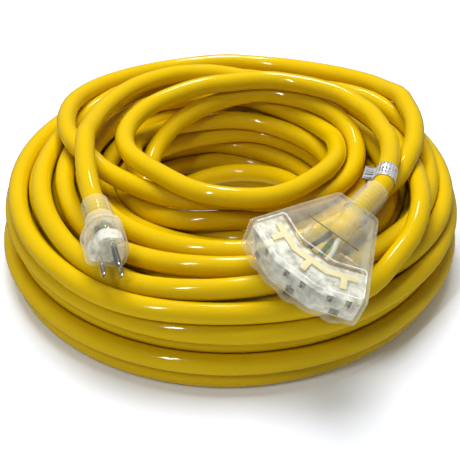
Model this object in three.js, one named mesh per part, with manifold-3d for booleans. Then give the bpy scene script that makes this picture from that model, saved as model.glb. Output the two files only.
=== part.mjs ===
// A heavy extension cord lying in a coil: three-conductor cord, grounding plug, three-outlet connector.
// Millimetres, +Z up, origin on the floor under the middle of the whole object's box.
import * as THREE from "three";
import { mergeVertices } from "three/addons/utils/BufferGeometryUtils.js";
import Module from "manifold-3d";

const wasm = await Module();
wasm.setup();

// ---- Driving dimensions -------------------------------------------------------------------------

const GAP = 0.3; // between pieces that touch
const CORD_RADIUS = 7.5;
const CORD_SIDES = 12;
const CORD_STEP = 20;
const BORE_CLEARANCE = 0.45; // between the cord and a moulded sleeve round it
const WIRE_RADIUS = 1.9;
const WIRE_SIDES = 8;

// Coil: the outer shape of the pile of turns.
const COIL_OUTER_RADIUS = 184;
const COIL_HOLE_RADIUS = 71;
const COIL_HEIGHT = 80;
const COIL_SHOULDER_DROP = 42; // how far the outside edge falls below the top
const COIL_SHOULDER_WIDTH = 56;
const COIL_FOOT_RADIUS = 11;
const COIL_SEGMENTS = 60;

// Blades and pin of a 15 A, 125 V grounding plug, and the outlets that take it.
const BLADE_SPACING = 12.7;
const BLADE_HEIGHT = 6.35;
const BLADE_THICKNESS = 1.52;
const BLADE_LENGTH = 17.5;
const BLADE_HOLE_RADIUS = 1.6;
const BLADE_HOLE_FROM_TIP = 4.2;
const GROUND_OFFSET = 11.9;
const GROUND_RADIUS = 2.38;
const GROUND_LENGTH = 20.6;
const SLOT_CLEARANCE = 0.5;
const NEUTRAL_SLOT_EXTRA = 1.2; // the neutral slot is taller than the line slot

// Plug body: local +Z out along the blades, +Y towards the ground pin,
// origin on the face between the blades.
const PLUG_WIDTH = 28.5;
const PLUG_TOP_WIDTH = 17;
const PLUG_BELOW_BLADES = 8;
const PLUG_ABOVE_GROUND = 7.2;
const PLUG_BODY_LENGTH = 24;
const PLUG_TAPER_LENGTH = 9;
const PLUG_COLLAR_LENGTH = 17;
const PLUG_COLLAR_WALL = 2.65; // round the cord's bore, at the thick end
const PLUG_COLLAR_DRAFT = 0.8; // how much thinner the collar is at its far end
const PLUG_CORD_HEIGHT = 5; // the cord's axis above the blades
const PLUG_WALL = 2;
const PLUG_BEVEL = 1.2;
const PLUG_CARRIER_LENGTH = 9;
const PLUG_CORD_INSET = 6; // how far the jacket reaches into the taper and body
const BLADE_ROOT_LENGTH = 11.7;
const CRIMP_LENGTH = 3.4;
const CRIMP_WALL = 0.6;

// Connector body: local +X out through the middle outlet, +Z up through the thickness,
// origin in the middle of the rear edge.
const OUTLET_FACE_WIDTH = 34;
const FAN_ANGLE = THREE.MathUtils.degToRad(25);
const FAN_SIDE_LENGTH = 74;
const FAN_THICKNESS = 27;
const FAN_WALL = 2.4;
const FAN_CORNER_RADIUS = 3.5;
const FAN_BEVEL = 1.4;
const GROUND_HOLE_HEIGHT = -7; // of each outlet's ground hole, from the middle of the thickness
const BOSS_RADIUS = 9;
const BOSS_LENGTH = 12;
const NECK_LENGTH = 33;
const NECK_WALL = 2.45; // round the cord's bore, at the thick end
const NECK_DRAFT = 1.2;
const OUTLET_CORD_INSET = 26; // the jacket runs well into the connector
const CARRIER_DEPTH = 24;
const CARRIER_HEADROOM = 2.2; // between the carrier block and the roof, where the bus cover lies
const CONTACT_LENGTH = 17;
const CONTACT_SHEET = 0.5;
const CONTACT_WIDTH = 3.4;
const CONTACT_CHANNEL_CLEARANCE = 0.5;
const CHANNEL_OVERRUN = 3; // past the carrier's back, so that each channel opens there
const BUS_SHEET = 0.9;
const BUS_HEIGHT = 4.2;
const BUS_LIFT = 3.4; // the neutral bus above its contacts' middle and the line bus below
const COVER_WIDTH = 4.6;
const COVER_THICKNESS = 1.3;
const COVER_FINGER_LENGTH = 8;
const LAMP_RADIUS = 2.1;
const LAMP_LENGTH = 11;
const RESISTOR_RADIUS = 1.2;
const RESISTOR_LENGTH = 6.5;
const LEAD_WIRE_RADIUS = 0.35;
const LEAD_WIRE_LENGTH = 4;
const LAMP_BEHIND_BUS = 15; // the lamp and its resistor lie behind the buses, on either side of the wires
const LAMP_SIDE = -16;
const RESISTOR_SIDE = 18;
const WIRE_SPREAD = 7.5; // of the outer wires from the middle, where they meet the buses
const WIRE_STRAIGHT = 6;

// Rings moulded round the collar and the neck.
const RIB_HEIGHT = 0.8;
const RIB_WIDTH = 1.6;
const RIB_PITCH = 3.9;

// Foil label wrapped on the cord behind the connector's neck.
const LABEL_CLEARANCE = 0.75;
const LABEL_THICKNESS = 0.5;
const LABEL_LENGTH = 17;
const LABEL_FROM_NECK = 19;
const LABEL_FLAG_LENGTH = 13;

// The coil's middle stands behind the middle of the whole object, because the connector
// hangs over its front.
const COIL_CENTRE_Y = 7;

// Where the two ends lie on the coil, measured from the coil's middle, as the routes below are.
const PLUG_LIFT = 7; // above the coil's top
const FAN_LIFT = 19;
const PLUG_PLACE = new THREE.Vector3(-82, -148, COIL_HEIGHT + PLUG_LIFT);
const PLUG_HEADING = THREE.MathUtils.degToRad(17); // from -Y towards +X
const PLUG_DIP = THREE.MathUtils.degToRad(9);
const PLUG_ROLL = THREE.MathUtils.degToRad(-19);
const FAN_PLACE = new THREE.Vector3(85, -116, COIL_HEIGHT + FAN_LIFT);
const FAN_HEADING = THREE.MathUtils.degToRad(-126);
const FAN_DIP = THREE.MathUtils.degToRad(17);
const FAN_LEAN = THREE.MathUtils.degToRad(13);

// The leads' routes over the coil, chosen by hand; each starts in its moulding and ends in the coil.
const PLUG_LEAD_ROUTE = [
  [-101, -79, 97],
  [-107, -49, 95],
  [-110, -15, 92],
  [-107, 13, 90],
  [-100, 41, 89],
  [-89, 68, 88],
  [-76, 88, 88],
  [-60, 103, 88],
  [-43, 113, 88],
  [-22, 118, 87],
  [0, 117, 86],
  [20, 113, 83],
  [37, 108, 78],
  [54, 101, 72],
];
const OUTLET_LEAD_ROUTE = [
  [120, -38, 97],
  [119, -8, 92],
  [113, 18, 90],
  [102, 38, 89],
  [88, 55, 88],
  [56, 72, 88],
  [19, 79, 88],
  [-23, 77, 88],
  [-58, 55, 88],
  [-76, 29, 88],
  [-82, 0, 88],
  [-76, -28, 88],
  [-56, -55, 88],
  [-27, -77, 88],
  [4, -86, 88],
  [35, -80, 88],
  [65, -54, 88],
  [81, -22, 88],
  [84, 8, 86],
  [80, 34, 80],
  [70, 56, 72],
];

// ---- Materials ----------------------------------------------------------------------------------

const finish = (color, roughness, metalness = 0, opacity = 1) =>
  new THREE.MeshStandardMaterial({
    color,
    roughness,
    metalness,
    opacity,
    transparent: opacity < 1,
  });
const yellowJacket = () => finish(0xe8bf0e, 0.25);
const clearPlastic = () => finish(0xe9e6d4, 0.12, 0, 0.4);
const whitePlastic = () => finish(0xe6e3da, 0.45);
const creamPlastic = () => finish(0xf0e8c4, 0.4);
const nickel = () => finish(0xc9c9c6, 0.22, 1);
const brass = () => finish(0xb9964f, 0.3, 1);
const foil = () => finish(0xc4c6c4, 0.3, 0.8);
const blackVinyl = () => finish(0x20201f, 0.4);
const whiteVinyl = () => finish(0xe8e8e4, 0.4);
const greenVinyl = () => finish(0x1f7a3c, 0.4);
const neonGlass = () => finish(0xf0b48a, 0.1, 0, 0.6);
const tanCeramic = () => finish(0xb99a6a, 0.5);

// ---- Solids -------------------------------------------------------------------------------------

function toSolid(geometry, matrix = new THREE.Matrix4()) {
  const placed = (geometry.index ? geometry.toNonIndexed() : geometry.clone()).applyMatrix4(matrix);
  placed.deleteAttribute("normal");
  placed.deleteAttribute("uv");
  const merged = mergeVertices(placed, 1e-4);
  const vertProperties = new Float32Array(merged.attributes.position.array);
  const triVerts = new Uint32Array(merged.index.array);
  return new wasm.Manifold(new wasm.Mesh({ numProp: 3, vertProperties, triVerts }));
}

function toGeometry(solid) {
  const { numProp, vertProperties, triVerts } = solid.getMesh();
  const positions = new Float32Array((vertProperties.length / numProp) * 3);
  for (let i = 0; i < positions.length / 3; i++) {
    for (let k = 0; k < 3; k++) positions[i * 3 + k] = vertProperties[i * numProp + k];
  }
  const geometry = new THREE.BufferGeometry();
  geometry.setAttribute("position", new THREE.BufferAttribute(positions, 3));
  geometry.setIndex(new THREE.BufferAttribute(new Uint32Array(triVerts), 1));
  geometry.computeVertexNormals();
  return geometry;
}

function addPiece(parent, name, shape, material) {
  const geometry = shape.isBufferGeometry ? shape : toGeometry(shape);
  const mesh = new THREE.Mesh(geometry, material);
  mesh.name = name;
  parent.add(mesh);
  return mesh;
}

function cutAll(solid, tools) {
  return tools.reduce((left, tool) => left.subtract(tool), solid);
}

function joinAll(solids) {
  return solids.reduce((left, right) => left.add(right));
}

const shift = (x, y, z) => new THREE.Matrix4().makeTranslation(x, y, z);

function boxSolid(x, y, z, matrix) {
  return toSolid(new THREE.BoxGeometry(x, y, z), matrix);
}

// A cylinder along +Z from z0 to z1.
function rodSolid(radius, z0, z1, sides, matrix = new THREE.Matrix4()) {
  const alongZ = new THREE.Matrix4().makeRotationX(Math.PI / 2);
  const place = matrix.clone().multiply(shift(0, 0, (z0 + z1) / 2)).multiply(alongZ);
  return toSolid(new THREE.CylinderGeometry(radius, radius, z1 - z0, sides), place);
}

// A body of revolution about +Z from [radius, z] points that run round the section anticlockwise.
function turnedGeometry(points, segments) {
  const closed = [...points, points[0]];
  const lathe = new THREE.LatheGeometry(closed.map(([r, z]) => new THREE.Vector2(r, z)), segments);
  return lathe.applyMatrix4(new THREE.Matrix4().makeRotationX(Math.PI / 2));
}

function circleShape(radius, sides, holeRadius = 0) {
  const ring = (r) =>
    Array.from({ length: sides }, (_, i) => {
      const angle = (2 * Math.PI * i) / sides;
      return new THREE.Vector2(r * Math.cos(angle), r * Math.sin(angle));
    });
  const shape = new THREE.Shape(ring(radius));
  if (holeRadius > 0) shape.holes.push(new THREE.Path(ring(holeRadius)));
  return shape;
}

function sweep(shape, curve, steps) {
  return new THREE.ExtrudeGeometry(shape, { extrudePath: curve, steps, bevelEnabled: false });
}

function wireGeometry(points, radius = WIRE_RADIUS, sides = WIRE_SIDES) {
  const curve = new THREE.CatmullRomCurve3(points.map((p) => new THREE.Vector3(...p)), false, "centripetal");
  return sweep(circleShape(radius, sides), curve, 3 * (points.length - 1));
}

// ---- Outlines -----------------------------------------------------------------------------------

// A closed shape through the corners, each rounded by up to the radius.
function roundedShape(corners, radius, arcPoints = 3) {
  const outline = [];
  corners.forEach((corner, i) => {
    const before = corners[(i + corners.length - 1) % corners.length];
    const after = corners[(i + 1) % corners.length];
    const reach = Math.min(radius, 0.45 * corner.distanceTo(before), 0.45 * corner.distanceTo(after));
    const start = corner.clone().lerp(before, reach / corner.distanceTo(before));
    const end = corner.clone().lerp(after, reach / corner.distanceTo(after));
    outline.push(...new THREE.QuadraticBezierCurve(start, corner, end).getPoints(arcPoints));
  });
  return new THREE.Shape(outline);
}

// The corners of a convex anticlockwise polygon after each edge moves inwards by its own distance.
function insetCorners(corners, distances) {
  const lines = corners.map((corner, i) => {
    const along = corners[(i + 1) % corners.length].clone().sub(corner).normalize();
    const inward = new THREE.Vector2(-along.y, along.x);
    return { point: corner.clone().addScaledVector(inward, distances[i]), along };
  });
  return lines.map((line, i) => {
    const before = lines[(i + lines.length - 1) % lines.length];
    const offset = line.point.clone().sub(before.point);
    const turn = before.along.cross(line.along);
    const travel = offset.cross(line.along) / turn;
    return before.point.clone().addScaledVector(before.along, travel);
  });
}

function extrudeBetween(shape, z0, z1, bevel = 0) {
  const settings = {
    depth: z1 - z0 - 2 * bevel,
    bevelEnabled: bevel > 0,
    bevelSize: bevel,
    bevelThickness: bevel,
    bevelOffset: -bevel,
    bevelSegments: 2,
  };
  return toSolid(new THREE.ExtrudeGeometry(shape, settings), shift(0, 0, z0 + bevel));
}

// A sleeve round the cord from z0 to z1 with moulded ribs on its outside.
function ribbedSleeve(radius, endRadius, bore, z0, z1) {
  const outline = [
    [bore, z0],
    [radius, z0],
  ];
  const count = Math.floor((z1 - z0 - RIB_WIDTH) / RIB_PITCH);
  for (let i = 0; i < count; i++) {
    const foot = z0 + RIB_PITCH * (i + 0.6);
    const share = (foot - z0) / (z1 - z0);
    const r = radius + (endRadius - radius) * share;
    outline.push([r, foot], [r + RIB_HEIGHT, foot + 0.3 * RIB_WIDTH]);
    outline.push([r + RIB_HEIGHT, foot + 0.7 * RIB_WIDTH], [r, foot + RIB_WIDTH]);
  }
  outline.push([endRadius, z1], [bore, z1]);
  return turnedGeometry(outline, 24);
}

// ---- Plug ---------------------------------------------------------------------------------------

const BORE_RADIUS = CORD_RADIUS + BORE_CLEARANCE;
const PLUG_COLLAR_RADIUS = BORE_RADIUS + PLUG_COLLAR_WALL;
const plugBack = -PLUG_BODY_LENGTH;
const plugTaperEnd = plugBack - PLUG_TAPER_LENGTH;
const plugCollarEnd = plugTaperEnd - GAP - PLUG_COLLAR_LENGTH;
const plugCordEnd = plugTaperEnd + PLUG_CORD_INSET;
const plugTop = GROUND_OFFSET + PLUG_ABOVE_GROUND;
const bladeSides = { line: -1, neutral: 1 };

function plugOutline(inset) {
  const half = PLUG_WIDTH / 2;
  const topHalf = PLUG_TOP_WIDTH / 2;
  const shoulder = GROUND_OFFSET / 2;
  const corners = [
    [-half, -PLUG_BELOW_BLADES],
    [half, -PLUG_BELOW_BLADES],
    [half, shoulder],
    [topHalf, plugTop],
    [-topHalf, plugTop],
    [-half, shoulder],
  ].map(([x, y]) => new THREE.Vector2(x, y));
  return roundedShape(insetCorners(corners, corners.map(() => inset)), 5.5 - inset / 2);
}

// The places that the blades and the pin pass through, grown by a clearance.
function prongTools(clearance, z0, z1) {
  const blades = Object.values(bladeSides).map((side) =>
    boxSolid(
      BLADE_THICKNESS + 2 * clearance,
      BLADE_HEIGHT + 2 * clearance,
      z1 - z0,
      shift((side * BLADE_SPACING) / 2, 0, (z0 + z1) / 2),
    ),
  );
  return [...blades, rodSolid(GROUND_RADIUS + clearance, z0, z1, 16, shift(0, GROUND_OFFSET, 0))];
}

function plugShell() {
  const onAxis = shift(0, PLUG_CORD_HEIGHT, 0);
  const body = extrudeBetween(plugOutline(0), plugBack, 0, PLUG_BEVEL);
  const taper = turnedGeometry(
    [
      [0, plugTaperEnd],
      [PLUG_COLLAR_RADIUS, plugTaperEnd],
      [PLUG_COLLAR_RADIUS + 2, plugBack + 1],
      [0, plugBack + 1],
    ],
    24,
  );
  const cavity = extrudeBetween(plugOutline(PLUG_WALL), plugBack + PLUG_WALL, -PLUG_WALL);
  const bore = rodSolid(BORE_RADIUS, plugTaperEnd - 1, plugBack + PLUG_WALL + 1, 24, onAxis);
  const prongs = prongTools(GAP, -PLUG_WALL - 1, 1);
  return cutAll(body.add(toSolid(taper, onAxis)), [cavity, bore, ...prongs]);
}

function blade(side) {
  const length = BLADE_LENGTH + BLADE_ROOT_LENGTH;
  const tipCorner = 1.4;
  const half = BLADE_HEIGHT / 2;
  const profile = new THREE.Shape([
    new THREE.Vector2(-half, 0),
    new THREE.Vector2(half, 0),
    new THREE.Vector2(half, length - tipCorner),
    new THREE.Vector2(half - tipCorner, length),
    new THREE.Vector2(tipCorner - half, length),
    new THREE.Vector2(-half, length - tipCorner),
  ]);
  const hole = circleShape(BLADE_HOLE_RADIUS, 14).getPoints();
  const holeHeight = length - BLADE_HOLE_FROM_TIP;
  profile.holes.push(new THREE.Path(hole.map((p) => new THREE.Vector2(p.x, p.y + holeHeight))));
  const flat = new THREE.ExtrudeGeometry(profile, { depth: BLADE_THICKNESS, bevelEnabled: false });
  const axes = new THREE.Matrix4().makeBasis(
    new THREE.Vector3(0, 1, 0),
    new THREE.Vector3(0, 0, 1),
    new THREE.Vector3(1, 0, 0),
  );
  const x = (side * BLADE_SPACING) / 2 - BLADE_THICKNESS / 2;
  return flat.applyMatrix4(shift(x, 0, -BLADE_ROOT_LENGTH).multiply(axes));
}

function groundPin() {
  const r = GROUND_RADIUS;
  const pin = turnedGeometry(
    [
      [0, -BLADE_ROOT_LENGTH],
      [r, -BLADE_ROOT_LENGTH],
      [r, GROUND_LENGTH - r],
      [0.72 * r, GROUND_LENGTH - 0.32 * r],
      [0, GROUND_LENGTH],
    ],
    18,
  );
  return pin.applyMatrix4(shift(0, GROUND_OFFSET, 0));
}

// Each prong's crimp barrel behind its root, and the wire from there to the cord's end.
function crimpAndWire(prong) {
  const crimpFront = -BLADE_ROOT_LENGTH - GAP;
  const crimpBack = crimpFront - CRIMP_LENGTH;
  const outer = WIRE_RADIUS + CRIMP_WALL;
  const barrel = [
    [WIRE_RADIUS, crimpBack],
    [outer, crimpBack],
    [outer, crimpFront],
    [WIRE_RADIUS, crimpFront],
  ];
  const crimp = turnedGeometry(barrel, 14).applyMatrix4(shift(prong.x, prong.y, 0));
  const inCord = CORD_RADIUS / 2;
  const aim = new THREE.Vector2(prong.x, prong.y - PLUG_CORD_HEIGHT).setLength(inCord);
  const end = plugCordEnd + GAP;
  const wire = wireGeometry([
    [prong.x, prong.y, crimpBack - GAP],
    [prong.x, prong.y, crimpBack - GAP - 1],
    [aim.x, aim.y + PLUG_CORD_HEIGHT, plugBack + PLUG_WALL + 1],
    [aim.x, aim.y + PLUG_CORD_HEIGHT, end],
  ]);
  return { crimp, wire };
}

function makePlug() {
  const plug = new THREE.Group();
  const onAxis = shift(0, PLUG_CORD_HEIGHT, 0);
  addPiece(plug, "plug_shell", plugShell(), clearPlastic());
  const collar = ribbedSleeve(
    PLUG_COLLAR_RADIUS - PLUG_COLLAR_DRAFT,
    PLUG_COLLAR_RADIUS,
    BORE_RADIUS,
    plugCollarEnd,
    plugTaperEnd - GAP,
  );
  addPiece(plug, "plug_collar", collar.applyMatrix4(onAxis), clearPlastic());
  const carrierBack = -PLUG_WALL - GAP - PLUG_CARRIER_LENGTH;
  const block = extrudeBetween(plugOutline(PLUG_WALL + GAP), carrierBack, -PLUG_WALL - GAP);
  const passages = prongTools(GAP, carrierBack - 1, 1);
  addPiece(plug, "plug_carrier", cutAll(block, passages), whitePlastic());
  const prongs = [
    { name: "line", x: -BLADE_SPACING / 2, y: 0, vinyl: blackVinyl },
    { name: "neutral", x: BLADE_SPACING / 2, y: 0, vinyl: whiteVinyl },
    { name: "ground", x: 0, y: GROUND_OFFSET, vinyl: greenVinyl },
  ];
  addPiece(plug, "plug_line_blade", blade(bladeSides.line), nickel());
  addPiece(plug, "plug_neutral_blade", blade(bladeSides.neutral), nickel());
  addPiece(plug, "plug_ground_pin", groundPin(), nickel());
  for (const prong of prongs) {
    const { crimp, wire } = crimpAndWire(prong);
    addPiece(plug, `plug_${prong.name}_crimp`, crimp, brass());
    addPiece(plug, `plug_${prong.name}_wire`, wire, prong.vinyl());
  }
  return plug;
}

// ---- Connector ----------------------------------------------------------------------------------

const fanSideX = FAN_SIDE_LENGTH * Math.cos(FAN_ANGLE);
const fanFrontHalf = OUTLET_FACE_WIDTH / 2;
const fanSideHalf = fanFrontHalf + OUTLET_FACE_WIDTH * Math.cos(FAN_ANGLE);
const fanRearHalf = fanSideHalf - FAN_SIDE_LENGTH * Math.sin(FAN_ANGLE);
const fanFrontX = fanSideX + OUTLET_FACE_WIDTH * Math.sin(FAN_ANGLE);
const slotHeight = GROUND_HOLE_HEIGHT + GROUND_OFFSET;
const fanInside = FAN_THICKNESS / 2 - FAN_WALL;
const carrierTop = fanInside - GAP - CARRIER_HEADROOM;
const fanCordEnd = OUTLET_CORD_INSET;
const NECK_RADIUS = BORE_RADIUS + NECK_WALL;

// The fan's outline with its sides, its three faces and its rear edge moved inwards.
function fanCorners(side, front, rear) {
  const corners = [
    [0, -fanRearHalf],
    [fanSideX, -fanSideHalf],
    [fanFrontX, -fanFrontHalf],
    [fanFrontX, fanFrontHalf],
    [fanSideX, fanSideHalf],
    [0, fanRearHalf],
  ].map(([x, y]) => new THREE.Vector2(x, y));
  return insetCorners(corners, [side, front, front, front, side, rear]);
}

// The frame of one outlet: +Z out of its face, +X sideways, +Y up, origin on the face.
function outletFrame(turn) {
  const angle = turn * FAN_ANGLE;
  const out = new THREE.Vector3(Math.cos(angle), Math.sin(angle), 0);
  const up = new THREE.Vector3(0, 0, 1);
  const sideways = new THREE.Vector3().crossVectors(up, out);
  const middle =
    turn === 0
      ? new THREE.Vector3(fanFrontX, 0, 0)
      : new THREE.Vector3((fanSideX + fanFrontX) / 2, (turn * (fanSideHalf + fanFrontHalf)) / 2, 0);
  return new THREE.Matrix4().makeBasis(sideways, up, out).setPosition(middle);
}

const outlets = [
  { name: "right", frame: outletFrame(-1) },
  { name: "middle", frame: outletFrame(0) },
  { name: "left", frame: outletFrame(1) },
];
const poles = [
  { name: "line", x: BLADE_SPACING / 2, y: slotHeight, extra: 0 },
  { name: "neutral", x: -BLADE_SPACING / 2, y: slotHeight, extra: NEUTRAL_SLOT_EXTRA },
  { name: "ground", x: 0, y: GROUND_HOLE_HEIGHT, extra: 0 },
];

function inOutlet(outlet, x, y, z) {
  return outlet.frame.clone().multiply(shift(x, y, z));
}

function slotTool(outlet, pole) {
  const depth = FAN_WALL + BOSS_LENGTH;
  if (pole.name === "ground") {
    const radius = GROUND_RADIUS + SLOT_CLEARANCE;
    return rodSolid(radius, -depth, 1, 16, inOutlet(outlet, pole.x, pole.y, 0));
  }
  const width = BLADE_THICKNESS + 2 * SLOT_CLEARANCE;
  const height = BLADE_HEIGHT + 2 * SLOT_CLEARANCE + pole.extra;
  return boxSolid(width, height, FAN_WALL + 2, inOutlet(outlet, pole.x, pole.y, -FAN_WALL / 2));
}

function outletShell() {
  const outline = roundedShape(fanCorners(0, 0, 0), FAN_CORNER_RADIUS);
  const half = FAN_THICKNESS / 2;
  const body = extrudeBetween(outline, -half, half, FAN_BEVEL);
  const bosses = outlets.map((outlet) =>
    rodSolid(BOSS_RADIUS, -BOSS_LENGTH, 0, 20, inOutlet(outlet, 0, GROUND_HOLE_HEIGHT, 0)),
  );
  const inner = fanCorners(FAN_WALL, FAN_WALL, FAN_WALL);
  const cavity = extrudeBetween(roundedShape(inner, FAN_CORNER_RADIUS - 1), -fanInside, fanInside);
  const alongX = new THREE.Matrix4().makeRotationY(Math.PI / 2);
  const bore = rodSolid(BORE_RADIUS, -1, fanCordEnd + 4, 24, alongX);
  const slots = outlets.flatMap((outlet) => poles.map((pole) => slotTool(outlet, pole)));
  return cutAll(joinAll([body, ...bosses]), [cavity, bore, ...slots]);
}

function contactSize(pole) {
  const wide = pole.name === "ground" ? 2 * GROUND_RADIUS + 2 * CONTACT_SHEET : CONTACT_WIDTH;
  return { wide, high: pole.name === "ground" ? wide : BLADE_HEIGHT };
}

// A spring clip: a U of sheet metal with its open side towards the middle of the outlet.
function contact(outlet, pole) {
  const { wide, high } = contactSize(pole);
  const w = wide / 2;
  const h = high / 2;
  const t = CONTACT_SHEET;
  const section = new THREE.Shape(
    [
      [-w, -h],
      [w, -h],
      [w, h],
      [w - t, h],
      [w - t, t - h],
      [t - w, t - h],
      [t - w, h],
      [-w, h],
    ].map(([x, y]) => new THREE.Vector2(x, y)),
  );
  const clip = new THREE.ExtrudeGeometry(section, { depth: CONTACT_LENGTH, bevelEnabled: false });
  const back = -FAN_WALL - 2 * GAP - CONTACT_LENGTH;
  return clip.applyMatrix4(inOutlet(outlet, pole.x, pole.y, back));
}

function outletCarrier() {
  const front = FAN_WALL + GAP;
  const outline = roundedShape(fanCorners(front, front, front), 2);
  const block = extrudeBetween(outline, -fanInside + GAP, carrierTop);
  const behind = front + CARRIER_DEPTH;
  const rear = roundedShape(fanCorners(-10, behind, -10), 0.5, 1);
  const emptied = extrudeBetween(rear, -fanInside - 1, fanInside + 1);
  const channels = outlets.flatMap((outlet) =>
    poles.map((pole) => {
      const { wide, high } = contactSize(pole);
      const grow = 2 * CONTACT_CHANNEL_CLEARANCE;
      const long = 2 * (behind + CHANNEL_OVERRUN);
      return boxSolid(wide + grow, high + grow, long, inOutlet(outlet, pole.x, pole.y, 0));
    }),
  );
  return cutAll(block, [emptied, ...channels]);
}

// A strip that runs behind the carrier, past all three outlets.
function fanStrip(behind, sheet, z0, z1, sideInset) {
  const outside = roundedShape(fanCorners(sideInset, behind, 0), 0.5, 1);
  const inside = roundedShape(fanCorners(-10, behind + sheet, -10), 0.5, 1);
  return extrudeBetween(outside, z0, z1).subtract(extrudeBetween(inside, z0 - 1, z1 + 1));
}

function busBar(middle) {
  const behind = FAN_WALL + 2 * GAP + CARRIER_DEPTH;
  return fanStrip(behind, BUS_SHEET, middle - BUS_HEIGHT / 2, middle + BUS_HEIGHT / 2, FAN_WALL + 4);
}

// The insulating cover on top of the carrier: a band with one finger towards each outlet.
function busCover() {
  const z0 = carrierTop + GAP;
  const z1 = z0 + COVER_THICKNESS;
  const behind = FAN_WALL + CARRIER_DEPTH - COVER_WIDTH - 4;
  const band = fanStrip(behind, COVER_WIDTH, z0, z1, FAN_WALL + 5);
  const fingers = outlets.map((outlet) => {
    const place = inOutlet(outlet, 0, (z0 + z1) / 2, -behind + COVER_FINGER_LENGTH / 2 - 1);
    return boxSolid(COVER_WIDTH, z1 - z0, COVER_FINGER_LENGTH + 2, place);
  });
  return joinAll([band, ...fingers]);
}

// A rod of lead wire with a body on it, along +Z, centred on its middle.
function leadedBody(radius, length, round) {
  const end = length / 2;
  return turnedGeometry(
    [
      [0, -end - LEAD_WIRE_LENGTH],
      [LEAD_WIRE_RADIUS, -end - LEAD_WIRE_LENGTH],
      [LEAD_WIRE_RADIUS, -end],
      [radius * 0.7, -end],
      [radius, -end + round],
      [radius, end - round],
      [radius * 0.7, end],
      [LEAD_WIRE_RADIUS, end],
      [LEAD_WIRE_RADIUS, end + LEAD_WIRE_LENGTH],
      [0, end + LEAD_WIRE_LENGTH],
    ],
    14,
  );
}

function makeConnector() {
  const fan = new THREE.Group();
  addPiece(fan, "outlet_shell", outletShell(), clearPlastic());
  const alongX = new THREE.Matrix4().makeRotationY(Math.PI / 2);
  const neck = ribbedSleeve(NECK_RADIUS - NECK_DRAFT, NECK_RADIUS, BORE_RADIUS, -NECK_LENGTH, -GAP);
  addPiece(fan, "outlet_neck", neck.applyMatrix4(alongX), clearPlastic());
  addPiece(fan, "outlet_carrier", outletCarrier(), whitePlastic());
  addPiece(fan, "bus_cover", busCover(), creamPlastic());
  const busPlaces = {
    neutral: slotHeight + BUS_LIFT - 1,
    line: slotHeight - BUS_LIFT,
    ground: GROUND_HOLE_HEIGHT,
  };
  const wires = { line: blackVinyl, neutral: whiteVinyl, ground: greenVinyl };
  const wireSides = { line: -1, neutral: 1, ground: 0 };
  const busFaceX = fanFrontX - (FAN_WALL + 2 * GAP + CARRIER_DEPTH) - BUS_SHEET - GAP;
  for (const pole of poles) {
    const height = busPlaces[pole.name];
    addPiece(fan, `${pole.name}_bus`, busBar(height), brass());
    const side = wireSides[pole.name];
    const inCord = CORD_RADIUS / 2;
    const wire = wireGeometry([
      [busFaceX, WIRE_SPREAD * side, height],
      [busFaceX - WIRE_STRAIGHT, WIRE_SPREAD * side, height],
      [fanCordEnd + 2 * WIRE_STRAIGHT, 0.8 * WIRE_SPREAD * side, 0.5 * height],
      [fanCordEnd + 3, inCord * side, side === 0 ? -inCord : 0.5 * inCord],
      [fanCordEnd + GAP, inCord * side, side === 0 ? -inCord : 0.5 * inCord],
    ]);
    addPiece(fan, `outlet_${pole.name}_wire`, wire, wires[pole.name]());
  }
  for (const outlet of outlets) {
    for (const pole of poles) {
      addPiece(fan, `${pole.name}_contact_${outlet.name}`, contact(outlet, pole), nickel());
    }
  }
  const acrossFan = new THREE.Matrix4().makeRotationX(Math.PI / 2);
  const partsX = busFaceX - LAMP_BEHIND_BUS;
  const lamp = leadedBody(LAMP_RADIUS, LAMP_LENGTH, 1.5).applyMatrix4(
    shift(partsX, LAMP_SIDE, slotHeight).multiply(alongX),
  );
  addPiece(fan, "neon_lamp", lamp, neonGlass());
  const resistor = leadedBody(RESISTOR_RADIUS, RESISTOR_LENGTH, 0.5).applyMatrix4(
    shift(partsX, RESISTOR_SIDE, slotHeight).multiply(acrossFan),
  );
  addPiece(fan, "lamp_resistor", resistor, tanCeramic());
  return fan;
}

// ---- Cord ---------------------------------------------------------------------------------------

function leadCurve(start, route) {
  const points = [...start, ...route.map((p) => new THREE.Vector3(...p))];
  return new THREE.CatmullRomCurve3(points, false, "centripetal");
}

function leadGeometry(curve, radius = CORD_RADIUS) {
  return sweep(circleShape(radius, CORD_SIDES), curve, Math.round(curve.getLength() / CORD_STEP));
}

// The coil's section, anticlockwise from the floor: foot, outside wall, falling shoulder, top, hole.
function coilSection() {
  const foot = COIL_FOOT_RADIUS;
  const outside = COIL_OUTER_RADIUS;
  const inside = COIL_HOLE_RADIUS;
  const section = [];
  const arc = (cx, cz, rx, rz, from, to, steps) => {
    for (let i = 0; i <= steps; i++) {
      const angle = THREE.MathUtils.degToRad(from + ((to - from) * i) / steps);
      section.push([cx + rx * Math.cos(angle), cz + rz * Math.sin(angle)]);
    }
  };
  arc(inside + foot, foot, foot, foot, 180, 270, 3);
  arc(outside - foot, foot, foot, foot, 270, 360, 3);
  const shoulderX = outside - COIL_SHOULDER_WIDTH;
  const shoulderZ = COIL_HEIGHT - COIL_SHOULDER_DROP;
  arc(shoulderX, shoulderZ, COIL_SHOULDER_WIDTH, COIL_SHOULDER_DROP, 0, 90, 6);
  const lip = 2 * foot;
  arc(inside + lip, COIL_HEIGHT - lip, lip, lip, 90, 180, 4);
  return section;
}

function straightStart(group, axis, distances) {
  group.updateWorldMatrix(true, false);
  return distances.map((d) => group.localToWorld(axis(d)));
}

const extensionCord = new THREE.Group();
const coilFrame = new THREE.Group();

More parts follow.
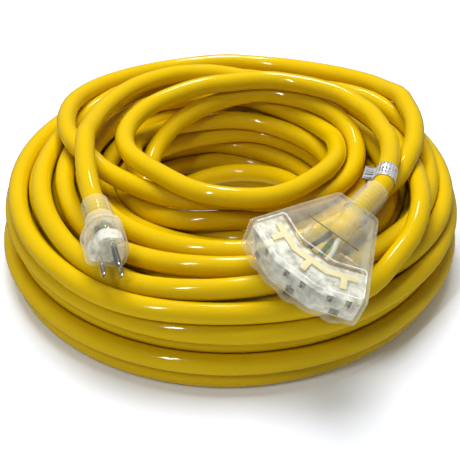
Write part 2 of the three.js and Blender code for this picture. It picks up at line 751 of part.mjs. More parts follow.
const plugHolder = new THREE.Group();
plugHolder.position.copy(PLUG_PLACE);
plugHolder.rotation.z = PLUG_HEADING;
const plugTilt = new THREE.Group();
plugTilt.rotation.x = Math.PI / 2 + PLUG_DIP;
const plug = makePlug();
plug.rotation.z = PLUG_ROLL;
plugTilt.add(plug);
plugHolder.add(plugTilt);
coilFrame.add(plugHolder);

const connector = makeConnector();
connector.position.copy(FAN_PLACE);
connector.rotation.set(FAN_DIP, FAN_LEAN, FAN_HEADING, "XYZ");
coilFrame.add(connector);

const plugAxis = (d) => new THREE.Vector3(0, PLUG_CORD_HEIGHT, d);
const plugStart = straightStart(plug, plugAxis, [
  plugCordEnd,
  plugTaperEnd,
  plugCollarEnd + 4,
  plugCollarEnd - 8,
]);
const fanAxis = (d) => new THREE.Vector3(-d, 0, 0);
const outletStart = straightStart(connector, fanAxis, [
  -fanCordEnd,
  NECK_LENGTH / 2,
  NECK_LENGTH,
  NECK_LENGTH + 9,
]);

const plugLeadCurve = leadCurve(plugStart, PLUG_LEAD_ROUTE);
const outletLeadCurve = leadCurve(outletStart, OUTLET_LEAD_ROUTE);

// The coil's outer shape, with grooves where the leads sink into it.
const coil = cutAll(
  toSolid(turnedGeometry(coilSection(), COIL_SEGMENTS)),
  [plugLeadCurve, outletLeadCurve].map((curve) => toSolid(leadGeometry(curve, CORD_RADIUS + 2 * GAP))),
);
addPiece(coilFrame, "cord_coil", coil, yellowJacket());
addPiece(coilFrame, "plug_lead", leadGeometry(plugLeadCurve), yellowJacket());
addPiece(coilFrame, "outlet_lead", leadGeometry(outletLeadCurve), yellowJacket());

// The foil label: a sleeve on the cord with a flag where its two ends are stuck together.
const leadLength = outletLeadCurve.getLength();
const labelPoints = [0, 0.25, 0.5, 0.75, 1].map((share) => {
  const travelled = OUTLET_CORD_INSET + NECK_LENGTH + LABEL_FROM_NECK + share * LABEL_LENGTH;
  return outletLeadCurve.getPointAt(travelled / leadLength);
});
const labelCurve = new THREE.CatmullRomCurve3(labelPoints, false, "centripetal");
const labelInner = CORD_RADIUS + LABEL_CLEARANCE;
const labelOuter = labelInner + LABEL_THICKNESS;
const sleeve = toSolid(sweep(circleShape(labelOuter, 18, labelInner), labelCurve, 3));
const flagAlong = labelPoints[4].clone().sub(labelPoints[0]);
const flagOut = new THREE.Vector3(0, 0, 1).cross(flagAlong).normalize();
const flagFrame = new THREE.Matrix4().makeBasis(
  flagAlong.clone().normalize(),
  flagOut,
  flagAlong.clone().normalize().cross(flagOut),
);
flagFrame.setPosition(
  labelPoints[2].clone().addScaledVector(flagOut, labelOuter - 0.3 + LABEL_FLAG_LENGTH / 2),
);
const flag = boxSolid(0.8 * LABEL_LENGTH, LABEL_FLAG_LENGTH, LABEL_THICKNESS, flagFrame);
addPiece(coilFrame, "foil_label", sleeve.add(flag), foil());

coilFrame.position.y = COIL_CENTRE_Y;
extensionCord.add(coilFrame);

export default extensionCord;
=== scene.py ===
"""Looks for a heavy outdoor extension cord lying in a coil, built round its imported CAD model.

The whole cord is one tube of its real length. Its centreline starts in the plug, winds down through the
coil's layers, climbs back up inside the hole and ends in the three-outlet connector. A small solver
settles it, so that turns rest on each other without running through each other.
"""

from __future__ import annotations

import logging
import math
from dataclasses import dataclass
from enum import Enum
from typing import Iterable, Sequence

import bmesh
import bpy
import numpy as np
from mathutils import Matrix, Vector


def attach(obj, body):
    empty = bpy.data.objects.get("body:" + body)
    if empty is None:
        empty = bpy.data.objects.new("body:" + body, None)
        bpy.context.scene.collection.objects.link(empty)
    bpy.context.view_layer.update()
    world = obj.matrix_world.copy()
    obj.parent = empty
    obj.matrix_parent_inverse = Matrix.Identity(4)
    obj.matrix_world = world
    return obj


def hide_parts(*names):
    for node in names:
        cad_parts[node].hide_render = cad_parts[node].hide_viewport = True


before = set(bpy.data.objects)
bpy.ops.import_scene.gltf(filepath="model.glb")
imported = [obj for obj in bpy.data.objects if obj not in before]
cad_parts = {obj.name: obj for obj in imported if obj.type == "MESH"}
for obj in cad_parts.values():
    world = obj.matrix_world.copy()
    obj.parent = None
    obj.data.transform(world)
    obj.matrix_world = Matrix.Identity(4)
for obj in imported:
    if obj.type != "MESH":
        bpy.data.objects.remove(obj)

log = logging.getLogger("extension_cord")
logging.basicConfig(level=logging.INFO, format="%(name)s: %(message)s")

MM = 0.001
Color = tuple[float, float, float]
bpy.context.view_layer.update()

# The coil's middle, which the routes and places below are measured from.
COIL_CENTRE = Vector((0, 0.007, 0))


# ---- Sizes -------------------------------------------------------------------------------------------


@dataclass(frozen=True)
class CordSize:
    """The jacket and the whole cord, in metres."""

    radius: float = 0.0075
    length: float = 30.48
    sides: int = 24
    step: float = 0.010


@dataclass(frozen=True)
class PlugSize:
    """The plug's main sizes in its own frame: +Z out along the blades, +Y towards the ground pin."""

    cord_height: float = 0.005
    width: float = 0.0285
    below: float = 0.008
    above: float = 0.0191
    body: float = 0.024
    taper: float = 0.009
    collar: float = 0.0173
    cord_inset: float = 0.006


@dataclass(frozen=True)
class ConnectorSize:
    """The connector's main sizes in its own frame: +X out through the middle outlet, +Z up."""

    face_width: float = 0.034
    fan_angle: float = math.radians(25)
    side: float = 0.074
    thickness: float = 0.027
    neck: float = 0.033
    cord_inset: float = 0.026

    @property
    def side_x(self) -> float:
        """Where the sides end, along X."""
        return self.side * math.cos(self.fan_angle)

    @property
    def front_half(self) -> float:
        """Half the width of the middle face."""
        return self.face_width / 2

    @property
    def side_half(self) -> float:
        """Half the width where the sides end."""
        return self.front_half + self.face_width * math.cos(self.fan_angle)

    @property
    def rear_half(self) -> float:
        """Half the width of the rear edge."""
        return self.side_half - self.side * math.sin(self.fan_angle)

    @property
    def front_x(self) -> float:
        """Where the middle face is, along X."""
        return self.side_x + self.face_width * math.sin(self.fan_angle)

    def corners(self) -> list[Vector]:
        """The outline's corners, anticlockwise from above."""
        return [
            Vector((0, -self.rear_half, 0)),
            Vector((self.side_x, -self.side_half, 0)),
            Vector((self.front_x, -self.front_half, 0)),
            Vector((self.front_x, self.front_half, 0)),
            Vector((self.side_x, self.side_half, 0)),
            Vector((0, self.rear_half, 0)),
        ]


GAP = 0.0003  # between a sleeve and the moulding it meets
CORD = CordSize()
PLUG = PlugSize()
CONNECTOR = ConnectorSize()


def turned(axis: str, degrees: float) -> Matrix:
    """A rotation about one axis."""
    return Matrix.Rotation(math.radians(degrees), 4, axis)


PLUG_FRAME = (
    Matrix.Translation(COIL_CENTRE + Vector((-0.082, -0.148, 0.087)))
    @ turned("Z", 17)
    @ turned("X", 90 + 9)
    @ turned("Z", -19)
)
CONNECTOR_FRAME = (
    Matrix.Translation(COIL_CENTRE + Vector((0.085, -0.116, 0.099)))
    @ turned("X", 17)
    @ turned("Y", 13)
    @ turned("Z", -126)
)

# The leads' routes over the coil, from the coil's middle, listed as in the CAD source.
PLUG_LEAD_ROUTE = [
    (-0.101, -0.079, 0.097),
    (-0.107, -0.049, 0.095),
    (-0.110, -0.015, 0.092),
    (-0.107, 0.013, 0.090),
    (-0.100, 0.041, 0.089),
    (-0.089, 0.068, 0.088),
    (-0.076, 0.088, 0.088),
    (-0.060, 0.103, 0.088),
    (-0.043, 0.113, 0.088),
    (-0.022, 0.118, 0.087),
    (0.000, 0.117, 0.086),
    (0.020, 0.113, 0.083),
    (0.037, 0.108, 0.078),
    (0.054, 0.101, 0.072),
]
OUTLET_LEAD_ROUTE = [
    (0.120, -0.038, 0.097),
    (0.119, -0.008, 0.092),
    (0.113, 0.018, 0.090),
    (0.102, 0.038, 0.089),
    (0.088, 0.055, 0.088),
    (0.056, 0.072, 0.088),
    (0.019, 0.079, 0.088),
    (-0.023, 0.077, 0.088),
    (-0.058, 0.055, 0.088),
    (-0.076, 0.029, 0.088),
    (-0.082, 0.000, 0.088),
    (-0.076, -0.028, 0.088),
    (-0.056, -0.055, 0.088),
    (-0.028, -0.081, 0.088),
    (0.004, -0.090, 0.088),
    (0.036, -0.084, 0.088),
    (0.065, -0.054, 0.088),
    (0.081, -0.022, 0.088),
    (0.084, 0.008, 0.086),
    (0.080, 0.034, 0.080),
    (0.070, 0.056, 0.072),
]

# The loops that cross the top of the coil, clockwise from the climb out of the hole to the outlet lead:
# the bearing in degrees (falling, as the cord runs clockwise), the distance from the middle and the height.
TOP_LOOPS = [
    (110, 0.081, 0.070),
    (65, 0.090, 0.073),
    (22, 0.101, 0.076),
    (-6, 0.099, 0.078),
    (-22, 0.095, 0.079),
    (-38, 0.090, 0.079),
    (-55, 0.085, 0.078),
    (-71, 0.081, 0.077),
    (-90, 0.079, 0.076),
    (-111, 0.081, 0.077),
    (-128, 0.084, 0.078),
    (-145, 0.091, 0.079),
    (-160, 0.103, 0.080),
    (-173, 0.118, 0.080),
    (-185, 0.130, 0.080),
    (-197, 0.140, 0.080),
    (-208, 0.148, 0.080),
    (-220, 0.155, 0.080),
    (-232, 0.159, 0.080),
    (-243, 0.162, 0.079),
    (-256, 0.165, 0.078),
    (-268, 0.167, 0.077),
    (-284, 0.166, 0.079),
    (-308, 0.162, 0.084),
    (-330, 0.155, 0.090),
    (-350, 0.148, 0.094),
    (-370, 0.141, 0.094),
    (-390, 0.135, 0.090),
    (-410, 0.130, 0.083),
    (-430, 0.127, 0.074),
    (-455, 0.125, 0.073),
    (-480, 0.122, 0.073),
    (-510, 0.118, 0.073),
    (-540, 0.114, 0.073),
    (-570, 0.108, 0.073),
    (-600, 0.103, 0.073),
    (-630, 0.098, 0.073),
    (-662, 0.093, 0.072),
]


# ---- The cord's centreline -----------------------------------------------------------------------------


@dataclass(frozen=True)
class Layer:
    """One layer of the coil: its height, the radius of each of its turns, and where turns change slot."""

    height: float
    first: float
    last: float
    turns: int
    change_bearing: float

    def radii(self) -> list[float]:
        """The radius of each turn, in the order that the cord runs through them."""
        return list(np.linspace(self.first, self.last, self.turns))


LAYERS = [
    Layer(0.0715, 0.133, 0.1525, 2, 50),
    Layer(0.0595, 0.174, 0.084, 6, -60),
    Layer(0.0465, 0.087, 0.1745, 6, 140),
    Layer(0.0335, 0.169, 0.080, 6, 95),
    Layer(0.0210, 0.087, 0.178, 6, 135),
    Layer(0.0075, 0.175, 0.079, 7, 105),
]


def smoothstep(t: np.ndarray) -> np.ndarray:
    """0 below 0, 1 above 1, and smooth between."""
    t = np.clip(t, 0, 1)
    return t * t * (3 - 2 * t)


def catmull_rom(rows: np.ndarray, step: float) -> np.ndarray:
    """Resamples a smooth curve at an even spacing.

    Args:
        rows: one row for each point that the curve passes through: its place, then any other values.
        step: the largest spacing of the result.

    Returns:
        The resampled rows, the first and the last included.
    """
    ends = np.vstack([2 * rows[0] - rows[1], rows, 2 * rows[-1] - rows[-2]])
    share = np.linspace(0, 1, 12, endpoint=False)[:, None]
    pieces = []
    for a, b, c, d in zip(ends, ends[1:], ends[2:], ends[3:]):
        cubic = 2 * b + (c - a) * share + (2 * a - 5 * b + 4 * c - d) * share**2
        pieces.append(0.5 * (cubic + (3 * b - a - 3 * c + d) * share**3))
    dense = np.vstack([*pieces, rows[-1:]])
    steps = np.linalg.norm(np.diff(dense[:, :3], axis=0), axis=1)
    travelled = np.concatenate([[0], np.cumsum(steps)])
    at = np.linspace(0, travelled[-1], int(math.ceil(travelled[-1] / step)) + 1)
    return np.column_stack([np.interp(at, travelled, column) for column in dense.T])


def marked(points: Iterable, weight: float, held: float) -> np.ndarray:
    """Adds to each point how much its weight counts and how firmly it keeps its place.

    Args:
        points: the points, about the coil's middle or in the row frame.
        weight: 1 where the cord sinks on to what is below it, 0 where it is already bedded in.
        held: 1 where it keeps its place from above, 0 where it may move sideways.
    """
    rows = np.array([tuple(point) for point in points], float)
    return np.column_stack([rows, np.full(len(rows), weight), np.full(len(rows), held)])


class CordRoute:
    """The centreline before it settles, from the plug to the connector, in the row frame."""

    blend = 95.0
    base_scale = 0.985
    oval = 0.015
    forward = 0.017
    top_forward = 0.009
    hole_radius = 0.0645
    climb_from = 0.010
    climb_to = 0.068

    def __init__(self, step: float) -> None:
        """Works the route out.

        Args:
            step: the spacing of its points, in metres.
        """
        self.step = step
        middle = np.array([*COIL_CENTRE, 0, 0])
        plug_lead = np.vstack([marked(self.plug_start(), 1, 1), marked(PLUG_LEAD_ROUTE, 1, 1) + middle])
        outlet_lead = np.vstack([marked(self.outlet_start(), 1, 1), marked(OUTLET_LEAD_ROUTE, 1, 1) + middle])
        whole = np.vstack([plug_lead, self.windings() + middle, outlet_lead[::-1]])
        rows = catmull_rom(whole, step)
        self.points = rows[:, :3]
        self.weight, self.held = np.clip(rows[:, 3:5], 0, 1).T

    @staticmethod
    def plug_start() -> np.ndarray:
        """The straight stretch from inside the plug to behind its collar."""
        back = -PLUG.body - PLUG.taper
        collar_end = back - PLUG.collar
        places = [back + PLUG.cord_inset, back, collar_end + 0.004, collar_end - 0.008]
        return np.array([PLUG_FRAME @ Vector((0, PLUG.cord_height, z)) for z in places])

    @staticmethod
    def outlet_start() -> np.ndarray:
        """The straight stretch from inside the connector to behind its neck."""
        places = [CONNECTOR.cord_inset, -CONNECTOR.neck / 2, -CONNECTOR.neck, -CONNECTOR.neck - 0.009]
        return np.array([CONNECTOR_FRAME @ Vector((x, 0, 0)) for x in places])

    def slots(self, bearing: float) -> list[tuple[float, float, float]]:
        """Each turn's radius and height, and the bearing at which the cord moves over to it.

        Args:
            bearing: where the windings begin, in degrees. Bearings fall along the cord.
        """
        found: list[tuple[float, float, float]] = []
        angle = bearing
        for layer in LAYERS:
            for radius in layer.radii():
                change = layer.change_bearing + 9 * math.sin(2.3 * len(found))
                if found:
                    change -= 360 * math.ceil((change - angle + 200) / 360)
                else:
                    change = bearing - 60
                found.append((radius, layer.height, change))
                angle = change
        return found

    def windings(self) -> np.ndarray:
        """The turns from the plug lead down through the layers, up the hole and over the top."""
        x, y, z = PLUG_LEAD_ROUTE[-1]
        start = math.degrees(math.atan2(y, x))
        slots = self.slots(start)
        end = slots[-1][2] - 265
        bearings = np.arange(start - 20, end, -6.0)
        radius = np.full(len(bearings), math.hypot(x, y))
        height = np.full(len(bearings), z)
        for slot_radius, slot_height, change in slots:
            share = smoothstep((change + self.blend / 2 - bearings) / self.blend)
            radius += (slot_radius - radius) * share
            height += (slot_height - height) * share
        turn = np.radians(bearings)
        scale = self.base_scale - self.oval * np.cos(2 * turn) - self.forward * np.sin(turn)
        share = smoothstep((0.130 - radius) / 0.05)
        radius *= scale * (1 - share) + share
        radius -= self.top_forward * np.sin(turn) * smoothstep((height - 0.064) / 0.008)
        radius += 0.0012 * np.sin(0.83 * turn) + 0.0009 * np.sin(2.11 * turn)
        layers = self.polar(bearings, radius, height, 0)
        turns_down = math.floor((end - 330 - TOP_LOOPS[0][0]) / 360)
        top = np.array(TOP_LOOPS) + np.array([360 * turns_down, 0, 0])
        climb = np.arange(end - 40, top[0, 0] + 30, -14.0)
        share = (end - climb) / (end - top[0, 0])
        rise = self.climb_from + (self.climb_to - self.climb_from) * share
        widening = (top[0, 1] - self.hole_radius) * smoothstep(share * 2 - 1)
        hole = self.polar(climb, self.hole_radius + widening, rise, 0)
        return np.vstack([layers, hole, self.polar(*top.T, 1, 0.7)])

    @staticmethod
    def polar(
        bearings: np.ndarray, radius: np.ndarray, height: np.ndarray, weight: float, held: float = 0
    ) -> np.ndarray:
        """Points from bearings in degrees, radii and heights, marked with a weight and a hold."""
        turn = np.radians(bearings)
        return marked(np.column_stack([radius * np.cos(turn), radius * np.sin(turn), height]), weight, held)


# ---- Settling ------------------------------------------------------------------------------------------


@dataclass(frozen=True)
class Hull:
    """A convex solid that the cord can't enter: the planes of its faces, outwards."""

    normals: np.ndarray
    offsets: np.ndarray

    @classmethod
    def prism(cls, outline: Sequence[Vector], low: float, high: float, place: Matrix) -> "Hull":
        """A prism along its own Z, placed in the row frame.

        Args:
            outline: the corners, anticlockwise from its +Z.
            low: its lower end.
            high: its upper end.
            place: its frame.
        """
        faces = [(Vector((0, 0, 1)), Vector((0, 0, high))), (Vector((0, 0, -1)), Vector((0, 0, low)))]
        for a, b in zip(outline, [*outline[1:], outline[0]]):
            along = b - a
            faces.append((Vector((along.y, -along.x, 0)).normalized(), a))
        turn = place.to_3x3()
        normals = [turn @ normal for normal, _ in faces]
        offsets = [n.dot(place @ point) for n, (_, point) in zip(normals, faces)]
        return cls(np.array(normals), np.array(offsets))

    def push(self, points: np.ndarray, reach: float) -> np.ndarray:
        """How far each point has to move so that it is at least reach outside the solid."""
        depth = points @ self.normals.T - self.offsets
        face = depth.argmax(axis=1)
        short = np.clip(reach - depth[np.arange(len(points)), face], 0, None)
        return self.normals[face] * short[:, None]


def box_outline(x0: float, y0: float, x1: float, y1: float) -> list[Vector]:
    """A rectangle's corners, anticlockwise."""
    return [Vector((x0, y0, 0)), Vector((x1, y0, 0)), Vector((x1, y1, 0)), Vector((x0, y1, 0))]


class CordSolver:
    """Settles a long cord under its weight by moving its points until every rule holds.

    The rules are: points keep their spacing, the line stays smooth, no two stretches come nearer than a
    diameter, and nothing enters the floor or the moulded ends.
    """

    plug_held = 0.040  # how much of the cord the plug and its collar hold straight
    outlet_held = 0.072
    end_margin = 8  # points past each held end that its own moulding doesn't push
    home_pull = 0.02  # the share of the way back to the route that a bedded point moves in a round
    overshoot = 1.25  # of the contact moves, which settles a deep pile sooner
    search_every = 20  # rounds between searches for near pairs
    search_margin = 0.016
    sleeve_reach = 0.0112  # of the collar's and the neck's outside, with room for their rings
    hull_gap = 0.0003  # between the cord and a moulded end
    sinking = ((0.5, 0.00008), (0.85, 0.00004))  # the share of the rounds that ends it, and the fall in each
    smoothing = ((3, 0.35), (1, 0.6))  # how many points apart, and the share of the unevenness that goes

    def __init__(self, route: CordRoute, diameter: float) -> None:
        """Takes the route's points and works out which of them are held.

        Args:
            route: the centreline to settle.
            diameter: the nearest that two stretches may come.
        """
        self.p = route.points.copy()
        self.home = route.points.copy()
        self.diameter = diameter
        self.spacing = np.linalg.norm(np.diff(self.p, axis=0), axis=1)
        self.weight = route.weight
        self.free = np.ones((len(self.p), 3))
        self.free[:, :2] -= route.held[:, None]
        self.plug_fixed = int(self.plug_held / route.step)
        self.outlet_fixed = int(self.outlet_held / route.step)
        self.free[: self.plug_fixed] = 0
        self.free[-self.outlet_fixed :] = 0
        self.pull = self.home_pull * (1 - self.weight)[:, None] * self.free
        self.pull[:, :2] += self.home_pull * self.weight[:, None] * self.free[:, :2]
        self.hulls = self.moulded_ends()
        self.pairs = np.zeros((0, 2), int)

    @staticmethod
    def moulded_ends() -> list[Hull]:
        """The plug, its collar, the connector and its neck as convex solids."""
        half = CONNECTOR.thickness / 2
        neck = turned("Y", -90)
        reach = CordSolver.sleeve_reach
        turns = np.linspace(0, 2 * math.pi, 9)[:-1]
        ring = [Vector((reach * math.cos(turn), reach * math.sin(turn), 0)) for turn in turns]
        lifted = [point + Vector((0, PLUG.cord_height, 0)) for point in ring]
        plug = box_outline(-PLUG.width / 2, -PLUG.below, PLUG.width / 2, PLUG.above)
        back = -PLUG.body - PLUG.taper
        return [
            Hull.prism(CONNECTOR.corners(), -half, half, CONNECTOR_FRAME),
            Hull.prism(ring, 0, CONNECTOR.neck, CONNECTOR_FRAME @ neck),
            Hull.prism(plug, back + 0.006, 0.002, PLUG_FRAME),
            Hull.prism(lifted, back - PLUG.collar, back, PLUG_FRAME),
        ]

    def find_pairs(self, reach: float) -> None:
        """Lists the pairs of segments whose middles are nearer than reach and that aren't neighbours."""
        middle = ((self.p[1:] + self.p[:-1]) / 2).astype(np.float32)
        apart = int(math.ceil(1.6 * self.diameter / self.spacing.mean())) + 1
        found = []
        for start in range(0, len(middle), 400):
            block = middle[start : start + 400]
            square = (block**2).sum(1)[:, None] + (middle**2).sum(1)[None] - 2 * block @ middle.T
            i, j = np.nonzero(square < reach * reach)
            keep = j - (i + start) > apart
            found.append(np.column_stack([i[keep] + start, j[keep]]))
        self.pairs = np.vstack(found)

    def contacts(self) -> float:
        """Moves overlapping stretches apart, and returns the deepest overlap."""
        i, j = self.pairs.T
        p1, p2 = self.p[i], self.p[j]
        d1, d2 = self.p[i + 1] - p1, self.p[j + 1] - p2
        between = p1 - p2
        a = (d1 * d1).sum(1)
        e = (d2 * d2).sum(1)
        f = (d2 * between).sum(1)
        c = (d1 * between).sum(1)
        b = (d1 * d2).sum(1)
        slack = a * e - b * b
        s = np.clip((b * f - c * e) / np.maximum(slack, 1e-3 * a * e), 0, 1)
        t = np.clip((b * s + f) / e, 0, 1)
        s = np.clip((b * t - c) / a, 0, 1)
        apart = between + d1 * s[:, None] - d2 * t[:, None]
        distance = np.linalg.norm(apart, axis=1)
        touching = distance < self.diameter
        i, j, s, t = i[touching], j[touching], s[touching], t[touching]
        distance = np.maximum(distance[touching], 1e-6)
        normal = apart[touching] / distance[:, None]
        overlap = self.diameter - distance
        corners = np.concatenate([i, i + 1, j, j + 1])
        weight = np.concatenate([1 - s, s, 1 - t, t])
        sign = np.concatenate([np.ones(2 * len(i)), -np.ones(2 * len(i))])
        direction = np.tile(normal, (4, 1))
        give = self.free[corners] * direction**2
        share = (weight**2 * give.sum(1)).reshape(4, -1).sum(0)
        strength = np.where(share > 1e-4, overlap / np.maximum(share, 1e-4), 0)
        move = self.free[corners] * direction * (sign * weight * np.tile(strength, 4))[:, None]
        total = np.bincount(corners, weight, len(self.p))
        for axis in range(3):
            moved = np.bincount(corners, move[:, axis], len(self.p))
            self.p[:, axis] += self.overshoot * moved / np.maximum(total, 1.0)
        return float(overlap.max()) if len(overlap) else 0.0

    def keep_spacing(self) -> None:
        """Brings neighbouring points back to their spacing, every other pair at a time."""
        for start in (0, 1):
            a = np.arange(start, len(self.p) - 1, 2)
            apart = self.p[a + 1] - self.p[a]
            distance = np.linalg.norm(apart, axis=1)
            unit = apart / distance[:, None]
            give = (self.free[a] * unit**2).sum(1) + (self.free[a + 1] * unit**2).sum(1)
            strength = np.where(give > 1e-4, (distance - self.spacing[a]) / np.maximum(give, 1e-4), 0)
            strength = np.clip(strength, -0.002, 0.002)
            self.p[a] += self.free[a] * unit * strength[:, None]
            self.p[a + 1] -= self.free[a + 1] * unit * strength[:, None]

    def smooth(self, reach: int, amount: float) -> None:
        """Evens out the bending, which leaves round turns as they are.

        Args:
            reach: how many points apart the compared points are.
            amount: the share of the unevenness that goes.
        """
        p, n = self.p, reach
        bend = p[: -4 * n] - 4 * p[n : -3 * n] + 6 * p[2 * n : -2 * n] - 4 * p[3 * n : -n] + p[4 * n :]
        p[2 * n : -2 * n] -= amount / 16 * bend * self.free[2 * n : -2 * n]

    def obstacles(self) -> None:
        """Keeps the cord above the floor and out of the moulded ends."""
        radius = self.diameter / 2
        self.p[:, 2] = np.maximum(self.p[:, 2], radius)
        clear_of_outlet = slice(0, -self.outlet_fixed - self.end_margin)
        clear_of_plug = slice(self.plug_fixed + self.end_margin, None)
        for index, hull in enumerate(self.hulls):
            span = clear_of_outlet if index < 2 else clear_of_plug
            push = hull.push(self.p[span], radius + self.hull_gap)
            self.p[span] += self.spread(push) * self.free[span]

    @staticmethod
    def spread(push: np.ndarray) -> np.ndarray:
        """Gives the points beside a pushed one a falling share of its push, so that the cord stays round."""
        widest = push.copy()
        for steps, share in ((1, 0.85), (2, 0.6), (3, 0.35), (4, 0.15)):
            for shifted in (np.roll(push, steps, axis=0), np.roll(push, -steps, axis=0)):
                larger = (share * shifted**2).sum(1) > (widest**2).sum(1)
                widest[larger] = share * shifted[larger]
        return widest

    def settle(self, rounds: int) -> None:
        """Runs the rules until the cord lies still.

        Args:
            rounds: how often every rule is applied.
        """
        deepest = 0.0
        for count in range(rounds):
            if count % self.search_every == 0:
                self.find_pairs(self.diameter + self.search_margin)
            share = count / rounds
            fall = next((fall for until, fall in self.sinking if share < until), 0.0)
            self.p[:, 2] -= fall * self.weight * self.free[:, 2]
            self.p += self.pull * (self.home - self.p)
            for reach, amount in self.smoothing:
                self.smooth(reach, amount)
            deepest = self.contacts()
            self.obstacles()
            self.keep_spacing()
            if count % 100 == 0:
                log.info("settling, round %d: deepest overlap %.2f mm", count, deepest / MM)
        for _ in range(rounds // 12):
            deepest = self.contacts()
            self.obstacles()
        log.info("settled: deepest overlap %.2f mm", deepest / MM)


# ---- Shader maths --------------------------------------------------------------------------------------


class Tree:
    """Builds one material's nodes: every node is made here, with its inputs set or linked."""

    def __init__(self, name: str) -> None:
        """Starts an empty material.

        Args:
            name: the material's name.
        """
        self.material = bpy.data.materials.new(name)
        self.material.use_nodes = True
        self.nodes = self.material.node_tree.nodes
        self.links = self.material.node_tree.links
        self.nodes.clear()
        self.output = self.nodes.new("ShaderNodeOutputMaterial")

    def node(self, kind: str, inputs: dict | None = None, **settings) -> bpy.types.Node:
        """Makes a node.

        Args:
            kind: the node's type.
            inputs: values, or other nodes' sockets, by input name or number.
            **settings: the node's own settings.
        """
        made = self.nodes.new(kind)
        for key, value in settings.items():
            setattr(made, key, value)
        for key, value in (inputs or {}).items():
            socket = made.inputs[key]
            if isinstance(value, Value):
                self.links.new(value.socket, socket)
            elif isinstance(value, bpy.types.NodeSocket):
                self.links.new(value, socket)
            else:
                socket.default_value = value
        return made

    def value(self, made: bpy.types.Node, output: str | int = 0) -> "Value":
        """Wraps one of a node's outputs for sums."""
        return Value(self, made.outputs[output])

    def coords(self, kind: str = "Object", scale: Sequence[float] = (1, 1, 1)) -> bpy.types.NodeSocket:
        """Texture coordinates, scaled.

        Args:
            kind: the Texture Coordinate output to read.
            scale: the factor along each axis.
        """
        source = self.node("ShaderNodeTexCoord")
        mapping = self.node("ShaderNodeMapping", {"Vector": source.outputs[kind], "Scale": scale})
        return mapping.outputs["Vector"]

    def noise(self, vector: bpy.types.NodeSocket, scale: float, detail: float = 3.0) -> "Value":
        """A smooth noise from 0 to 1."""
        inputs = {"Vector": vector, "Scale": scale, "Detail": detail}
        return self.value(self.node("ShaderNodeTexNoise", inputs))

    def mix(self, factor: "Value | float", low: Color, high: Color) -> bpy.types.NodeSocket:
        """A colour between two colours."""
        inputs = {0: factor, 6: (*low, 1), 7: (*high, 1)}
        return self.node("ShaderNodeMix", inputs, data_type="RGBA").outputs[2]

    def bump(self, height: "Value", depth: float, strength: float = 1.0) -> bpy.types.NodeSocket:
        """A normal bent by a height.

        Args:
            height: the height, from 0 to 1.
            depth: what 1 stands for, in metres.
            strength: how much of it shows.
        """
        inputs = {"Height": height, "Distance": depth, "Strength": strength}
        return self.node("ShaderNodeBump", inputs).outputs["Normal"]

    def shader(self, **values) -> bpy.types.NodeSocket:
        """A Principled BSDF, with its inputs named in lower case with underscores."""
        made = self.node("ShaderNodeBsdfPrincipled")
        names = {socket.name.lower().replace(" ", "_"): socket for socket in made.inputs}
        for key, value in values.items():
            if isinstance(value, (Value, bpy.types.NodeSocket)):
                self.links.new(getattr(value, "socket", value), names[key])
            elif isinstance(value, tuple) and len(value) == 3 and names[key].type == "RGBA":
                names[key].default_value = (*value, 1)
            else:
                names[key].default_value = value
        return made.outputs[0]

    def finish(self, surface: bpy.types.NodeSocket) -> bpy.types.Material:
        """Connects the surface and returns the material."""
        self.links.new(surface, self.output.inputs["Surface"])
        return self.material


class Value:
    """A number in a shader, which can be used in sums."""

    def __init__(self, tree: Tree, socket: bpy.types.NodeSocket) -> None:
        """Wraps a socket."""
        self.tree = tree
        self.socket = socket

    def _math(self, operation: str, *others: "Value | float") -> "Value":
        """One Math node on this number and the others."""
        inputs = dict(enumerate([self, *others]))
        return self.tree.value(self.tree.node("ShaderNodeMath", inputs, operation=operation))

    def __add__(self, other: "Value | float") -> "Value":
        """Sum."""
        return self._math("ADD", other)

    def __mul__(self, other: "Value | float") -> "Value":
        """Product."""
        return self._math("MULTIPLY", other)

    def __rsub__(self, other: float) -> "Value":
        """Difference the other way round."""
        return self * -1 + other

    def __pow__(self, other: "Value | float") -> "Value":
        """Power."""
        return self._math("POWER", other)

    def sine(self) -> "Value":
        """Sine."""
        return self._math("SINE")

    def fit(self, low: float, high: float) -> "Value":
        """0 at low, 1 at high, and held between them."""
        inputs = {"Value": self, "From Min": low, "From Max": high}
        return self.tree.value(self.tree.node("ShaderNodeMapRange", inputs))


# ---- Finishes ------------------------------------------------------------------------------------------


def scaled(color: Color, factor: float) -> Color:
    """A lighter or darker colour, no lighter than white."""
    return tuple(min(1, channel * factor) for channel in color)


@dataclass(frozen=True)
class Jacket:
    """Glossy vinyl jacket: a deep yellow, slightly wavy from the conductors inside."""

    color: Color = (0.69, 0.455, 0.001)
    roughness: float = 0.09

    def build(self, name: str) -> bpy.types.Material:
        """Builds the material."""
        tree = Tree(name)
        grain = tree.noise(tree.coords("Object"), 900)
        patches = tree.noise(tree.coords("Object"), 22, 2)
        waves = tree.noise(tree.coords("UV"), 60, 2)
        height = waves * 0.8 + grain * 0.06
        surface = tree.shader(
            base_color=tree.mix(patches, scaled(self.color, 0.93), scaled(self.color, 1.05)),
            roughness=patches * 0.08 + (self.roughness - 0.04),
            ior=1.5,
            specular_ior_level=0.4,
            normal=tree.bump(height, 0.0006, 0.5),
        )
        return tree.finish(surface)


